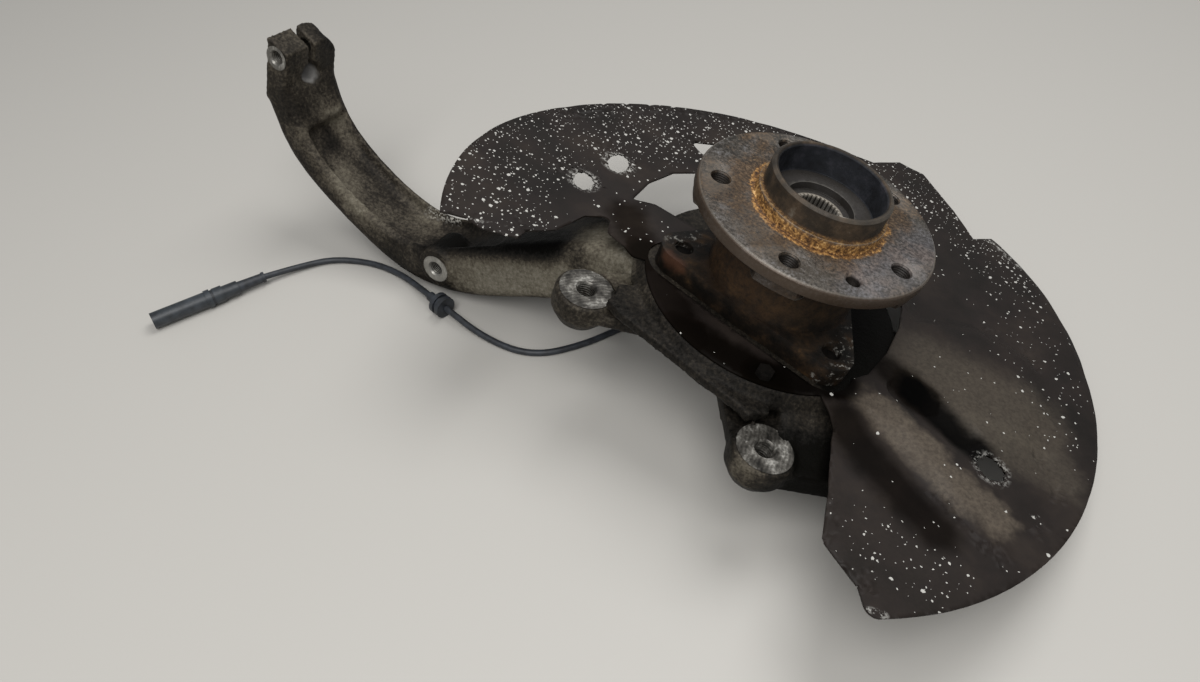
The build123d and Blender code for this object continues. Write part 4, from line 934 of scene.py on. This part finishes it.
depth = add(tree, "ShaderNodeMath", {0: fine.outputs["Fac"], 1: struck}, operation="SUBTRACT")
bump = add(tree, "ShaderNodeBump", {"Height": depth.outputs[0], "Strength": 0.3, "Distance": 0.25 * MM})
satin = add(tree, "ShaderNodeMapRange", {
    "Value": cloud.outputs["Fac"], "From Min": 0.3, "From Max": 0.7, "To Min": 0.50, "To Max": 0.68})
tree.links.new(tone, shader.inputs["Base Color"])
tree.links.new(satin.outputs["Result"], shader.inputs["Roughness"])
tree.links.new(bump.outputs["Normal"], shader.inputs["Normal"])
tree.links.new(sheen, shader.inputs["Specular IOR Level"])
print("shield paint nodes", len(tree.nodes))

# %% [markdown]
# The lead, its grommet, boot and connector are black rubber and moulded plastic with a dusty bloom. The
# other small pieces are steel, brass and nylon. One loop gives each a base tone, a fine mottle and a grain,
# because the eye meets them only from close by.

# %% Finishes of the small pieces
# dark and pale tone, pattern in mm, roughness, metallic, sheen
SMALL = {
    "black_rubber": ("#1B1D20", "#30343A", 6.0, 0.52, 0.0, 0.5),
    "moulded_connector_plastic": ("#1F2225", "#373C41", 9.0, 0.42, 0.0, 0.5),
    "moulded_sensor_plastic": ("#161719", "#26282A", 9.0, 0.5, 0.0, 0.5),
    "rusty_bolt_steel": ("#2A211B", "#5C4A3C", 4.0, 0.55, 0.5, 0.5),
    "oily_screw_steel": ("#060504", "#120F0C", 4.0, 0.7, 0.0, 0.1),
    "ground_race_steel": ("#8C8C8C", "#B4B4B4", 12.0, 0.3, 1.0, 0.5),
    "polished_ball_steel": ("#B8B8BC", "#D0D0D4", 20.0, 0.12, 1.0, 0.5),
    "cage_nylon": ("#A89A78", "#BFB08C", 10.0, 0.5, 0.0, 0.5),
    "seal_rubber": ("#100F0F", "#1F1C1B", 6.0, 0.6, 0.0, 0.5),
    "plated_brass": ("#B09048", "#C8AA60", 3.0, 0.3, 1.0, 0.5),
}
small = {}
for name, (dark, pale, size, roughness, metallic, sheen) in SMALL.items():
    material, tree, shader = new_material(name)
    coords = add(tree, "ShaderNodeTexCoord").outputs["Object"]
    cloud = add(tree, "ShaderNodeTexNoise", {"Vector": coords, "Scale": per_mm(size), "Detail": 7.0, "Roughness": 0.65})
    tone = add(tree, "ShaderNodeValToRGB", {"Fac": cloud.outputs["Fac"]}, stops=[(0.36, dark), (0.66, pale)])
    bump = add(tree, "ShaderNodeBump", {"Height": cloud.outputs["Fac"], "Strength": 0.2, "Distance": 0.2 * MM})
    tree.links.new(tone.outputs["Color"], shader.inputs["Base Color"])
    tree.links.new(bump.outputs["Normal"], shader.inputs["Normal"])
    shader.inputs["Roughness"].default_value = roughness
    shader.inputs["Metallic"].default_value = metallic
    shader.inputs["Specular IOR Level"].default_value = sheen
    small[name] = material
print("small finishes", len(small))

# %% [markdown]
# Last, the pieces are dressed. What came from the frame has a material slot already, and new pieces get one.

# %% Give every piece its finish
WEARS = {
    "bearing_bolts": "oily_screw_steel", "shield_screws": "oily_screw_steel", "sensor_screw": "rusty_bolt_steel",
    "bearing_inner_ring": "ground_race_steel", "outboard_balls": "polished_ball_steel",
    "inboard_balls": "polished_ball_steel", "outboard_cage": "cage_nylon", "inboard_cage": "cage_nylon",
    "outboard_seal": "seal_rubber", "inboard_seal": "seal_rubber", "encoder_ring": "seal_rubber",
    "wheel_speed_sensor": "moulded_sensor_plastic", "sensor_sleeve": "black_rubber",
    "cable_grommet": "black_rubber", "connector_boot": "black_rubber", "connector_seal": "black_rubber",
    "connector_body": "moulded_connector_plastic", "connector_lock_ring": "moulded_connector_plastic",
    "connector_contacts": "plated_brass",
}


def dress(piece, material):
    if not piece.data.materials:
        piece.data.materials.append(material)
    for slot in piece.material_slots:
        slot.material = material


for node, finish in WEARS.items():
    dress(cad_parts[node], small[finish])
dress(lead, small["black_rubber"])
dress(casting, cast_aluminium)
dress(shield, shield_paint)
dress(turned["wheel_hub"], hub_steel)
dress(turned["bearing_outer_ring"], bearing_steel)
for piece in machined:
    dress(piece, machined_aluminium)
for piece in threads:
    dress(piece, hub_steel)
print("dressed", len(WEARS) + 5 + len(machined) + len(threads), "pieces")
